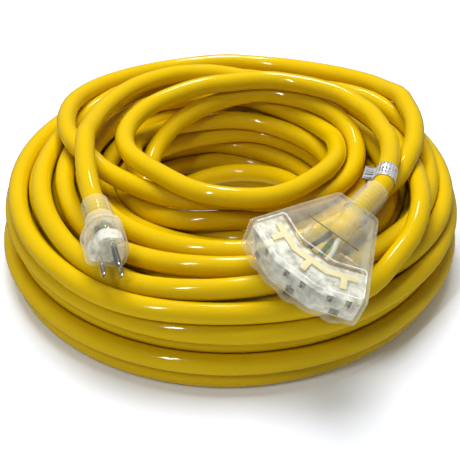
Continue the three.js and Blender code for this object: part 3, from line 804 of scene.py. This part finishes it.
@dataclass(frozen=True)
class ClearPlastic:
    """Clear moulded plastic: seen through face on, and bright and milky along its edges."""

    tint: Color = (0.975, 0.98, 0.94)
    body: Color = (0.94, 0.95, 0.86)
    roughness: float = 0.07
    haze: float = 0.045
    edge: float = 0.75

    def build(self, name: str) -> bpy.types.Material:
        """Builds the material."""
        tree = Tree(name)
        facing = tree.value(tree.node("ShaderNodeLayerWeight", {"Blend": 0.5}), "Facing")
        cloud = tree.noise(tree.coords("Object"), 160, 3).fit(0.35, 0.65)
        through = tree.node("ShaderNodeBsdfTransparent", {"Color": (*self.tint, 1)}).outputs[0]
        ripple = tree.bump(tree.noise(tree.coords("Object"), 260, 1), 0.0004, 0.35)
        solid = tree.shader(
            base_color=self.body, roughness=self.roughness, ior=1.49, specular_ior_level=0.8, normal=ripple
        )
        factor = facing**3 * self.edge + cloud * self.haze + 0.5 * self.haze
        mixed = tree.node("ShaderNodeMixShader", {0: factor, 1: through, 2: solid}).outputs[0]
        return tree.finish(mixed)


@dataclass(frozen=True)
class MoldedPlastic:
    """Opaque or slightly translucent moulded plastic."""

    color: Color
    roughness: float = 0.35
    see_through: float = 0.0
    mottle: float = 0.06

    def build(self, name: str) -> bpy.types.Material:
        """Builds the material."""
        tree = Tree(name)
        patches = tree.noise(tree.coords("Object"), 240, 3)
        color = tree.mix(patches, scaled(self.color, 1 - self.mottle), self.color)
        grain = tree.bump(tree.noise(tree.coords("Object"), 1500, 1), 0.0001, 0.3)
        surface = tree.shader(base_color=color, roughness=self.roughness, ior=1.49, normal=grain)
        if self.see_through > 0:
            through = tree.node("ShaderNodeBsdfTransparent").outputs[0]
            factor = 1 - (patches * 0.4 + 0.8) * self.see_through
            surface = tree.node("ShaderNodeMixShader", {0: factor, 1: through, 2: surface}).outputs[0]
        return tree.finish(surface)


@dataclass(frozen=True)
class PlatedMetal:
    """Stamped or turned metal with a fine grain."""

    color: Color
    roughness: float = 0.16

    def build(self, name: str) -> bpy.types.Material:
        """Builds the material."""
        tree = Tree(name)
        grain = tree.noise(tree.coords("Object", (1, 1, 8)), 700, 2)
        surface = tree.shader(
            base_color=tree.mix(grain, scaled(self.color, 0.9), self.color),
            metallic=1.0,
            roughness=grain * 0.12 + (self.roughness - 0.05),
            normal=tree.bump(grain, 0.00005, 0.4),
        )
        return tree.finish(surface)


@dataclass(frozen=True)
class FoilLabel:
    """Silver foil, creased, with rows of dark marks that stand for small print."""

    color: Color = (0.80, 0.81, 0.80)

    def build(self, name: str) -> bpy.types.Material:
        """Builds the material."""
        tree = Tree(name)
        creases = tree.noise(tree.coords("Object"), 330, 3)
        rows = (tree.value(tree.node("ShaderNodeSeparateXYZ", {0: tree.coords("UV")}), "Y") * 2400).sine()
        words = tree.noise(tree.coords("UV", (900, 60, 1)), 1, 1).fit(0.5, 0.54)
        ink = rows.fit(0.15, 0.5) * words
        surface = tree.shader(
            base_color=tree.mix(ink, self.color, (0.05, 0.05, 0.05)),
            metallic=(1 - ink) * 0.55,
            roughness=creases * 0.2 + 0.14,
            normal=tree.bump(creases, 0.0012, 0.8),
        )
        return tree.finish(surface)


class Finish(Enum):
    """The finishes, by the record's material slots; the last two have no slot of their own."""

    JACKET = "jacket"
    CLEAR = "clear_plastic"
    WHITE = "white_plastic"
    CREAM = "cream_plastic"
    NICKEL = "nickel"
    BRASS = "brass"
    FOIL = "foil"
    BLACK_VINYL = "black_vinyl"
    WHITE_VINYL = "white_vinyl"
    GREEN_VINYL = "green_vinyl"
    NEON = "neon_glass"
    CERAMIC = "ceramic"
    SEAM = "mould_line"
    SLEEVE = "clear_sleeve"


class Finishes:
    """Builds each finish once, when a piece first asks for it."""

    recipes = {
        Finish.JACKET: Jacket(),
        Finish.CLEAR: ClearPlastic(),
        Finish.WHITE: ClearPlastic(body=(0.98, 0.96, 0.99), haze=0.42, edge=0.3, roughness=0.1),
        Finish.CREAM: MoldedPlastic((0.74, 0.66, 0.42), 0.4, 0.15),
        Finish.NICKEL: PlatedMetal((0.80, 0.79, 0.76)),
        Finish.BRASS: PlatedMetal((0.72, 0.52, 0.24), 0.22),
        Finish.FOIL: FoilLabel(),
        Finish.BLACK_VINYL: MoldedPlastic((0.018, 0.018, 0.018), 0.35),
        Finish.WHITE_VINYL: MoldedPlastic((0.66, 0.66, 0.60), 0.35, 0.35),
        Finish.GREEN_VINYL: MoldedPlastic((0.07, 0.18, 0.06), 0.35, 0.35),
        Finish.NEON: MoldedPlastic((0.80, 0.66, 0.50), 0.08, 0.65),
        Finish.CERAMIC: MoldedPlastic((0.52, 0.38, 0.20), 0.55),
        Finish.SEAM: MoldedPlastic((0.16, 0.12, 0.02), 0.4, 0.3),
        Finish.SLEEVE: ClearPlastic(haze=0.012, edge=0.4, roughness=0.05),
    }

    def __init__(self) -> None:
        """Starts with no finish built."""
        self.built: dict[Finish, bpy.types.Material] = {}

    def get(self, finish: Finish) -> bpy.types.Material:
        """The material of a finish."""
        if finish not in self.built:
            self.built[finish] = self.recipes[finish].build(finish.value)
        return self.built[finish]


FINISHES = Finishes()
VINYLS = {"line": Finish.BLACK_VINYL, "neutral": Finish.WHITE_VINYL, "ground": Finish.GREEN_VINYL}


# ---- Meshes --------------------------------------------------------------------------------------------


def mesh_object(name: str, verts: Iterable, faces: Iterable, smooth: bool = True) -> bpy.types.Object:
    """Makes an object at the origin from corners in the row frame.

    Args:
        name: the object's name.
        verts: the corners, in metres.
        faces: the faces, outwards.
        smooth: whether its faces are shaded smooth.
    """
    mesh = bpy.data.meshes.new(name)
    mesh.from_pydata([tuple(map(float, v)) for v in verts], [], [tuple(map(int, f)) for f in faces])
    mesh.validate()
    made = bpy.data.objects.new(name, mesh)
    bpy.context.scene.collection.objects.link(made)
    mesh.polygons.foreach_set("use_smooth", [smooth] * len(mesh.polygons))
    return made


def tube_object(name: str, path: np.ndarray, radius: float, sides: int) -> bpy.types.Object:
    """A round tube along a path, closed at both ends, with a UV map in metres along and round it.

    Args:
        name: the object's name.
        path: the points of its centreline.
        radius: its radius.
        sides: how many sides it has.
    """
    along = np.gradient(path, axis=0)
    along /= np.linalg.norm(along, axis=1)[:, None]
    up = np.array([0.0, 0.0, 1.0]) - along * along[:, 2:3]
    up /= np.linalg.norm(up, axis=1)[:, None]
    across = np.cross(along, up)
    angles = np.linspace(0, 2 * math.pi, sides, endpoint=False)
    rings = path[:, None] + radius * (
        up[:, None] * np.sin(angles)[None, :, None] + across[:, None] * np.cos(angles)[None, :, None]
    )
    count = len(path)
    first = np.arange(count - 1)[:, None] * sides
    side = np.arange(sides)[None]
    following = (side + 1) % sides
    second = first + sides
    quads = np.stack([first + side, second + side, second + following, first + following], axis=-1)
    faces = quads.reshape(-1, 4).tolist()
    faces.append(list(range(sides)))
    faces.append([(count - 1) * sides + k for k in reversed(range(sides))])
    made = mesh_object(name, rings.reshape(-1, 3), faces)
    travelled = np.concatenate([[0], np.cumsum(np.linalg.norm(np.diff(path, axis=0), axis=1))])
    layer = made.data.uv_layers.new(name="UVMap")
    loops = np.zeros(len(made.data.loops), int)
    made.data.loops.foreach_get("vertex_index", loops)
    ring, corner = loops // sides, loops % sides
    round_it = 2 * math.pi * radius * corner / sides
    last = np.zeros(len(loops), bool)
    wrap = np.arange(len(quads.reshape(-1, 4)) * 4).reshape(-1, 4)
    last_side = (np.arange(len(wrap)) % sides) == sides - 1
    last[wrap[last_side][:, 2:].ravel()] = True
    round_it[last] = 2 * math.pi * radius
    uv = np.column_stack([travelled[ring], round_it])
    layer.data.foreach_set("uv", uv.ravel())
    return made


def dress(
    piece: bpy.types.Object, finish: Finish, stands_for: Sequence[str] = ()
) -> bpy.types.Object:
    """Gives a finished piece its material and body.

    Args:
        piece: the piece, with its place in its mesh.
        finish: its finish.
        stands_for: the CAD nodes that it replaces.
    """
    piece.data.materials.clear()
    piece.data.materials.append(FINISHES.get(finish))
    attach(piece, "root")
    if stands_for:
        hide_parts(*stands_for)
    log.info("%s: %d faces, %s", piece.name, len(piece.data.polygons), finish.value)
    return piece


def applied(piece: bpy.types.Object) -> bpy.types.Object:
    """Turns a piece's modifiers into plain mesh."""
    evaluated = piece.evaluated_get(bpy.context.evaluated_depsgraph_get())
    mesh = bpy.data.meshes.new_from_object(evaluated)
    piece.modifiers.clear()
    piece.data = mesh
    return piece


def softened(node: str, name: str, bevel: float, smooth_below: float) -> bpy.types.Object:
    """A smooth stand-in for a CAD node, with its corners merged and its edges rounded.

    Args:
        node: the CAD node.
        name: the new object's name.
        bevel: the width of the rounding, or 0 for none.
        smooth_below: the angle in degrees under which edges are shaded smooth.
    """
    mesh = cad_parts[node].data.copy()
    for attribute in [a.name for a in mesh.attributes if a.name == "custom_normal"]:
        mesh.attributes.remove(mesh.attributes[attribute])
    bm = bmesh.new()
    bm.from_mesh(mesh)
    bmesh.ops.remove_doubles(bm, verts=bm.verts, dist=2e-6)
    bmesh.ops.dissolve_limit(bm, angle_limit=math.radians(1), verts=bm.verts, edges=bm.edges)
    bm.to_mesh(mesh)
    bm.free()
    piece = bpy.data.objects.new(name, mesh)
    bpy.context.scene.collection.objects.link(piece)
    if bevel > 0:
        rounding = piece.modifiers.new("rounding", "BEVEL")
        rounding.width = bevel
        rounding.segments = 2
        rounding.limit_method = "ANGLE"
        rounding.angle_limit = math.radians(38)
        rounding.use_clamp_overlap = True
        applied(piece)
    piece.data.polygons.foreach_set("use_smooth", [True] * len(piece.data.polygons))
    piece.data.set_sharp_from_angle(angle=math.radians(smooth_below))
    return piece


def lathe(name: str, outline: Sequence[tuple[float, float]], sides: int = 48) -> bpy.types.Object:
    """A closed body of revolution about Z.

    Args:
        name: the object's name.
        outline: distances from the axis and heights, round the section anticlockwise.
        sides: how many sides it has.
    """
    count = len(outline)
    verts, faces = [], []
    for k in range(sides):
        turn = 2 * math.pi * k / sides
        verts += [(r * math.cos(turn), r * math.sin(turn), z) for r, z in outline]
        here, after = k * count, (k + 1) % sides * count
        for i in range(count):
            following = (i + 1) % count
            faces.append((here + i, after + i, after + following, here + following))
    piece = mesh_object(name, verts, faces)
    piece.data.set_sharp_from_angle(angle=math.radians(40))
    return piece


# ---- Sub-assemblies ------------------------------------------------------------------------------------


@dataclass(frozen=True)
class StandIn:
    """A rounded copy of a CAD node, which stands for it in the visual model."""

    node: str
    name: str
    finish: Finish
    bevel: float = 0.0
    smooth_below: float = 35.0

    def build(self) -> bpy.types.Object:
        """Builds the piece."""
        copy = softened(self.node, self.name, self.bevel, self.smooth_below)
        return dress(copy, self.finish, [self.node])


@dataclass
class CoiledCord:
    """The whole cord, settled, as one tube from inside the plug to inside the connector."""

    size: CordSize = CORD
    clearance: float = 0.0001
    route_step: float = 0.012
    rounds: int = 600

    def build(self, plug_pieces: Sequence[bpy.types.Object]) -> np.ndarray:
        """Args:
            plug_pieces: the pieces that make up its plug end. Not used.

        Returns:
            Its centreline, from the plug to the connector.
        """
        route = CordRoute(self.route_step)
        solver = CordSolver(route, 2 * self.size.radius + self.clearance)
        solver.settle(self.rounds)
        path = catmull_rom(solver.p, self.size.step)
        length = float(np.linalg.norm(np.diff(path, axis=0), axis=1).sum())
        log.info("cord: %.3f m long in %d points", length, len(path))
        cord = tube_object("cord", path, self.size.radius, self.size.sides)
        dress(cord, Finish.JACKET, ["cord_coil", "plug_lead", "outlet_lead"])
        2 * self.size.radius
        return path


class RibTree:
    """Geometry Nodes that stand a row of moulded rings along a sleeve."""

    def __init__(self, name: str, material: bpy.types.Material) -> None:
        """Builds the tree.

        Args:
            name: the tree's name.
            material: what the sleeve and its rings are made of.
        """
        self.tree = bpy.data.node_groups.new(name, "GeometryNodeTree")
        self.sockets: dict[str, str] = {}
        interface = self.tree.interface
        interface.new_socket("Geometry", in_out="INPUT", socket_type="NodeSocketGeometry")
        interface.new_socket("Geometry", in_out="OUTPUT", socket_type="NodeSocketGeometry")
        for label, kind in [
            ("Ring Radius", "NodeSocketFloat"),
            ("Rib Radius", "NodeSocketFloat"),
            ("Pitch", "NodeSocketFloat"),
            ("Start", "NodeSocketFloat"),
            ("Count", "NodeSocketInt"),
        ]:
            self.sockets[label] = interface.new_socket(label, in_out="INPUT", socket_type=kind).identifier
        source = self.tree.nodes.new("NodeGroupInput")
        ring = self.node("GeometryNodeCurvePrimitiveCircle", {"Radius": source.outputs["Ring Radius"]})
        ring.inputs["Resolution"].default_value = 48
        profile = self.node("GeometryNodeCurvePrimitiveCircle", {"Radius": source.outputs["Rib Radius"]})
        profile.inputs["Resolution"].default_value = 8
        curves = {"Curve": ring.outputs[0], "Profile Curve": profile.outputs[0]}
        rib = self.node("GeometryNodeCurveToMesh", curves)
        start = self.node("ShaderNodeCombineXYZ", {"Z": source.outputs["Start"]})
        offset = self.node("ShaderNodeCombineXYZ", {"Z": source.outputs["Pitch"]})
        places = {"Start Location": start.outputs[0], "Offset": offset.outputs[0]}
        line = self.node("GeometryNodeMeshLine", {"Count": source.outputs["Count"], **places})
        instances = {"Points": line.outputs[0], "Instance": rib.outputs[0]}
        row = self.node("GeometryNodeInstanceOnPoints", instances)
        joined = self.node("GeometryNodeJoinGeometry", {})
        self.tree.links.new(row.outputs[0], joined.inputs[0])
        self.tree.links.new(source.outputs["Geometry"], joined.inputs[0])
        real = self.node("GeometryNodeRealizeInstances", {"Geometry": joined.outputs[0]})
        smooth = self.node("GeometryNodeSetShadeSmooth", {"Geometry": real.outputs[0]})
        painted = self.node("GeometryNodeSetMaterial", {"Geometry": smooth.outputs[0]})
        painted.inputs["Material"].default_value = material
        self.tree.links.new(painted.outputs[0], self.tree.nodes.new("NodeGroupOutput").inputs[0])

    def node(self, kind: str, inputs: dict) -> bpy.types.Node:
        """Makes a node and links its inputs."""
        made = self.tree.nodes.new(kind)
        for key, socket in inputs.items():
            self.tree.links.new(socket, made.inputs[key])
        return made

    def apply(self, piece: bpy.types.Object, place: Matrix, **values: float) -> bpy.types.Object:
        """Adds the ribs to a sleeve that stands on the origin, then puts it in place.

        Args:
            piece: the sleeve, along +Z.
            place: the frame that it belongs in.
            **values: the tree's inputs, in lower case with underscores.
        """
        modifier = piece.modifiers.new("ribs", "NODES")
        modifier.node_group = self.tree
        for label, identifier in self.sockets.items():
            modifier[identifier] = values[label.lower().replace(" ", "_")]
        applied(piece)
        piece.data.transform(place)
        return piece


@dataclass
class RibbedSleeve:
    """A clear sleeve moulded round the cord, with rings on its outside and a rounded lip at each end."""

    name: str
    stands_for: str
    place: Matrix
    length: float
    radius: float
    end_radius: float
    bore: float = 0.00795
    pitch: float = 0.0039
    rib: float = 0.0007
    lip: float = 0.0006

    def build(self) -> bpy.types.Object:
        """Builds the sleeve."""
        lip = self.lip
        outline = [
            (self.bore, 0),
            (self.radius - lip, 0),
            (self.radius, lip),
            (self.end_radius, self.length - lip),
            (self.end_radius - lip, self.length),
            (self.bore, self.length),
        ]
        sleeve = lathe(self.name, outline)
        ribs = RibTree(f"{self.name}_ribs", FINISHES.get(Finish.SLEEVE))
        count = int((self.length - 2 * self.pitch) / self.pitch) + 2
        middle = (self.radius + self.end_radius) / 2
        ribs.apply(
            sleeve,
            self.place,
            ring_radius=middle,
            rib_radius=self.rib,
            pitch=self.pitch,
            start=0.4 * self.pitch,
            count=count,
        )
        sleeve.data.set_sharp_from_angle(angle=math.radians(45))
        return dress(sleeve, Finish.SLEEVE, [self.stands_for])


@dataclass
class Plug:
    """The grounding plug: a clear shell on a white carrier, two flat blades and a round pin."""

    size: PlugSize = PLUG

    collar_length: float = 0.017
    collar_radius: float = 0.0104
    collar_end_radius: float = 0.0098

    def build(self) -> list[bpy.types.Object]:
        """Builds and returns its pieces."""
        back = -self.size.body - self.size.taper - GAP
        place = PLUG_FRAME @ Matrix.Translation((0, self.size.cord_height, back)) @ turned("X", 180)
        radii = (self.collar_radius, self.collar_end_radius)
        parts = [
            StandIn("plug_shell", "plug_body", Finish.CLEAR, 0.0007),
            RibbedSleeve("strain_relief", "plug_collar", place, self.collar_length, *radii),
            StandIn("plug_carrier", "plug_insert", Finish.WHITE, 0.0004),
            StandIn("plug_line_blade", "plug_line_blade_metal", Finish.NICKEL, 0.0002),
            StandIn("plug_neutral_blade", "plug_neutral_blade_metal", Finish.NICKEL, 0.0002),
            StandIn("plug_ground_pin", "plug_ground_pin_metal", Finish.NICKEL),
        ]
        for pole, vinyl in VINYLS.items():
            crimp, wire = f"plug_{pole}_crimp", f"plug_{pole}_wire"
            parts.append(StandIn(crimp, f"{crimp}_barrel", Finish.BRASS))
            parts.append(StandIn(wire, f"{wire}_insulation", vinyl, 0, 60))
        return [part.build() for part in parts]


@dataclass
class Connector:
    """The fan-shaped clear connector with three grounded outlets and what shows inside it."""

    size: ConnectorSize = CONNECTOR
    neck_radius: float = 0.0104
    neck_end_radius: float = 0.0092
    seam_x: float = 0.0345
    seam_half: float = 0.0205
    seam_radius: float = 0.00035
    seam_sink: float = 0.0001
    # The white line round the outlets' block on the roof is a painted highlight for the bright line that
    # refraction draws along the roof's front edge.
    painted_highlight_radius: float = 0.0005
    border_front: float = 0.973  # of the front's distance from the fan's apex
    border_back: float = 0.765
    painted_highlight_trim: float = 0.0035

    def build(self) -> list[bpy.types.Object]:
        """Builds and returns its pieces."""
        place = CONNECTOR_FRAME @ Matrix.Translation((-GAP, 0, 0)) @ turned("Y", -90)
        radii = (self.neck_radius, self.neck_end_radius)
        parts = [
            StandIn("outlet_shell", "connector_body", Finish.CLEAR, 0.0009),
            RibbedSleeve("neck", "outlet_neck", place, self.size.neck - GAP, *radii),
            StandIn("outlet_carrier", "connector_insert", Finish.WHITE, 0.0005),
            StandIn("bus_cover", "bus_insulator", Finish.CREAM, 0.0003),
        ]
        for pole, vinyl in VINYLS.items():
            bus, wire = f"{pole}_bus", f"outlet_{pole}_wire"
            parts.append(StandIn(bus, f"{bus}_bar", Finish.BRASS, 0.0001))
            parts.append(StandIn(wire, f"{wire}_insulation", vinyl, 0, 60))
            for outlet in ("right", "middle", "left"):
                contact = f"{pole}_contact_{outlet}"
                parts.append(StandIn(contact, f"{contact}_clip", Finish.NICKEL))
        parts.append(StandIn("neon_lamp", "indicator_lamp", Finish.NEON))
        parts.append(StandIn("lamp_resistor", "indicator_resistor", Finish.CERAMIC))
        return [*(part.build() for part in parts), self.build_seam(), self.build_painted_highlight()]

    def build_seam(self) -> bpy.types.Object:
        """Builds the mould line that runs straight across the top behind the outlets."""
        z = self.size.thickness / 2 - self.seam_sink
        ends = [Vector((self.seam_x, side * self.seam_half, z)) for side in (-1, 1)]
        path = np.array([CONNECTOR_FRAME @ end for end in ends])
        path = path[0] + np.linspace(0, 1, 6)[:, None] * (path[1] - path[0])
        seam = tube_object("mould_line", path, self.seam_radius, 8)
        return dress(seam, Finish.SEAM)

    def front_chain(self, shrink: float, trim: float) -> list[Vector]:
        """The three front faces' line as seen from above, moved back towards the fan's apex.

        Args:
            shrink: its size as a share of the front's own.
            trim: how far its two ends stand in from the sides.
        """
        size = self.size
        apex = Vector((-size.rear_half / math.tan(size.fan_angle), 0, 0))
        chain = [apex + (corner - apex) * shrink for corner in size.corners()[1:5]]
        chain[0] = chain[0] + (chain[1] - chain[0]).normalized() * trim
        chain[-1] = chain[-1] + (chain[-2] - chain[-1]).normalized() * trim
        return chain

    def build_painted_highlight(self) -> bpy.types.Object:
        """Builds a raised white line round the outlets' block on the roof: a painted highlight for the bright
        line that refraction draws along the roof's front edge.
        """
        front = self.front_chain(self.border_front, self.painted_highlight_trim)
        back = self.front_chain(self.border_back, self.painted_highlight_trim)
        roof = Vector((0, 0, self.size.thickness / 2))
        loop = [*front, *reversed(back), front[0]]
        lifted = np.array([CONNECTOR_FRAME @ (corner + roof) for corner in loop])
        share = np.linspace(0, 1, 16)[1:-1, None]
        stretches = [a + share * (b - a) for a, b in zip(lifted, lifted[1:])]
        # A white tube on the roof: painted highlight in place of the refraction line.
        painted_highlight = tube_object("roof_border", np.vstack(stretches), self.painted_highlight_radius, 8)
        return dress(painted_highlight, Finish.WHITE)


@dataclass
class Label:
    """The foil label wrapped on the cord behind the connector, with its ends stuck together as a flag."""

    path: np.ndarray
    start: float = CONNECTOR.cord_inset + CONNECTOR.neck + 0.013
    length: float = 0.014
    flag: float = 0.008
    radius: float = CORD.radius + 0.0004
    thickness: float = 0.0003
    ripple: float = 0.0006
    ripples: float = 900.0  # radians of the flag's ripple in a metre
    flag_half_gap: float = 0.0005
    opening: float = math.radians(6)  # between the wrap's ends and the flag's plane

    def build(self) -> bpy.types.Object:
        """Builds the label on the cord's settled path."""
        back = self.path[::-1]
        travelled = np.concatenate([[0], np.cumsum(np.linalg.norm(np.diff(back, axis=0), axis=1))])
        at = self.start + self.length * np.linspace(0, 1, 9)
        middle = np.column_stack([np.interp(at, travelled, back[:, k]) for k in range(3)])
        along = np.gradient(middle, axis=0)
        along /= np.linalg.norm(along, axis=1)[:, None]
        out = np.cross([0, 0, 1], along)
        out /= np.linalg.norm(out, axis=1)[:, None]
        up = np.cross(along, out)
        angles = np.linspace(self.opening, 2 * math.pi - self.opening, 40)
        section = [(self.radius + self.flag, self.flag_half_gap)]
        section += [(self.radius * math.cos(a), self.radius * math.sin(a)) for a in angles]
        section += [(self.radius + self.flag, -self.flag_half_gap)]
        verts, uv = [], []
        for place, sideways, upwards, distance in zip(middle, out, up, at):
            ripple = self.ripple * math.sin(distance * self.ripples)
            for index, (x, y) in enumerate(section):
                lift = ripple if index in (0, len(section) - 1) else 0
                verts.append(place + sideways * x + upwards * (y + lift))
                uv.append((distance, index * 0.0013))
        wide = len(section)
        faces = [
            (row * wide + k, row * wide + k + 1, (row + 1) * wide + k + 1, (row + 1) * wide + k)
            for row in range(len(middle) - 1)
            for k in range(wide - 1)
        ]
        label = mesh_object("wrapped_label", verts, faces)
        layer = label.data.uv_layers.new(name="UVMap")
        for loop in label.data.loops:
            layer.data[loop.index].uv = uv[loop.vertex_index]
        wall = label.modifiers.new("wall", "SOLIDIFY")
        wall.thickness = self.thickness
        wall.offset = 0
        applied(label)
        return dress(label, Finish.FOIL, ["foil_label"])


# ---- Studio --------------------------------------------------------------------------------------------


@dataclass(frozen=True)
class SoftLight:
    """A rectangular light aimed at the coil."""

    name: str
    place: tuple[float, float, float]
    size: tuple[float, float]
    power: float
    glossy: bool = True
    aim: tuple[float, float, float] = (0, 0, 0.04)

    def build(self) -> bpy.types.Object:
        """Builds the light."""
        data = bpy.data.lights.new(self.name, "AREA")
        data.shape = "RECTANGLE"
        data.size, data.size_y = self.size
        data.energy = self.power
        lamp = bpy.data.objects.new(self.name, data)
        lamp.location = self.place
        lamp.rotation_euler = (Vector(self.aim) - Vector(self.place)).to_track_quat("-Z", "Y").to_euler()
        lamp.visible_glossy = self.glossy
        bpy.context.scene.collection.objects.link(lamp)
        return lamp


LIGHTS = [
    SoftLight("top_softbox", (-0.08, 0.33, 1.55), (1.0, 1.0), 29, glossy=False),
    SoftLight("front_strip", (-0.58, -0.9, 1.3), (0.05, 0.5), 6),
    SoftLight("back_strip", (0.0, 0.9, 1.3), (0.12, 0.4), 4),
]
SPARKLE_LIGHTS = [
    SoftLight("sparkle_front", (0.5, -1.1, 0.7), (0.25, 0.15), 4),
    SoftLight("sparkle_top", (0.1, -0.1, 1.4), (0.25, 0.15), 4),
]


@dataclass
class Studio:
    """The camera, the pale floor and the soft light."""

    camera_place: Vector = Vector((0, -0.706, 0.508))
    aim: Vector = Vector((0, 0.007, 0.006))
    lens: float = 82.2
    surround: float = 0.15
    floor_half: float = 3.0

    def build_camera(self) -> None:
        """Places the camera."""
        data = bpy.data.cameras.new("camera")
        data.lens = self.lens
        data.sensor_width = 36
        camera = bpy.data.objects.new("camera", data)
        camera.location = self.camera_place
        camera.rotation_euler = (self.aim - self.camera_place).to_track_quat("-Z", "Y").to_euler()
        bpy.context.scene.collection.objects.link(camera)
        bpy.context.scene.camera = camera

    def build_floor(self) -> None:
        """Makes the floor."""
        half = self.floor_half
        corners = [(-half, -half, 0), (half, -half, 0), (half, half, 0), (-half, half, 0)]
        floor = mesh_object("floor", corners, [(0, 1, 2, 3)], smooth=False)
        tree = Tree("floor_white")
        surface = tree.shader(
            base_color=(0.90, 0.93, 0.99), roughness=0.9, emission_color=(1, 1, 1), emission_strength=0.06
        )
        floor.data.materials.append(tree.finish(surface))
        floor.visible_glossy = False

    def build_lights(self, sparkling: Sequence[bpy.types.Object]) -> None:
        """Makes the lights and the surroundings.

        Args:
            sparkling: the pieces of both ends, which have two small lights of their own.
        """
        bpy.context.scene.view_settings.view_transform = "Standard"
        world = bpy.data.worlds.new("surroundings")
        bpy.context.scene.world = world
        world.use_nodes = True
        background = world.node_tree.nodes["Background"]
        background.inputs["Color"].default_value = (1, 1, 1, 1)
        background.inputs["Strength"].default_value = self.surround
        for light in LIGHTS:
            light.build()
        receivers = bpy.data.collections.new("sparkling")
        for piece in sparkling:
            receivers.objects.link(piece)
        for light in SPARKLE_LIGHTS:
            light.build().light_linking.receiver_collection = receivers


def main() -> None:
    """Builds everything in order."""
    studio = Studio()
    studio.build_camera()
    plug_pieces = Plug().build()
    path = CoiledCord().build(plug_pieces)
    sparkling = [*plug_pieces, *Connector().build(), Label(path).build()]
    studio.build_floor()
    studio.build_lights(sparkling)


if __name__ == "__main__":
    main()
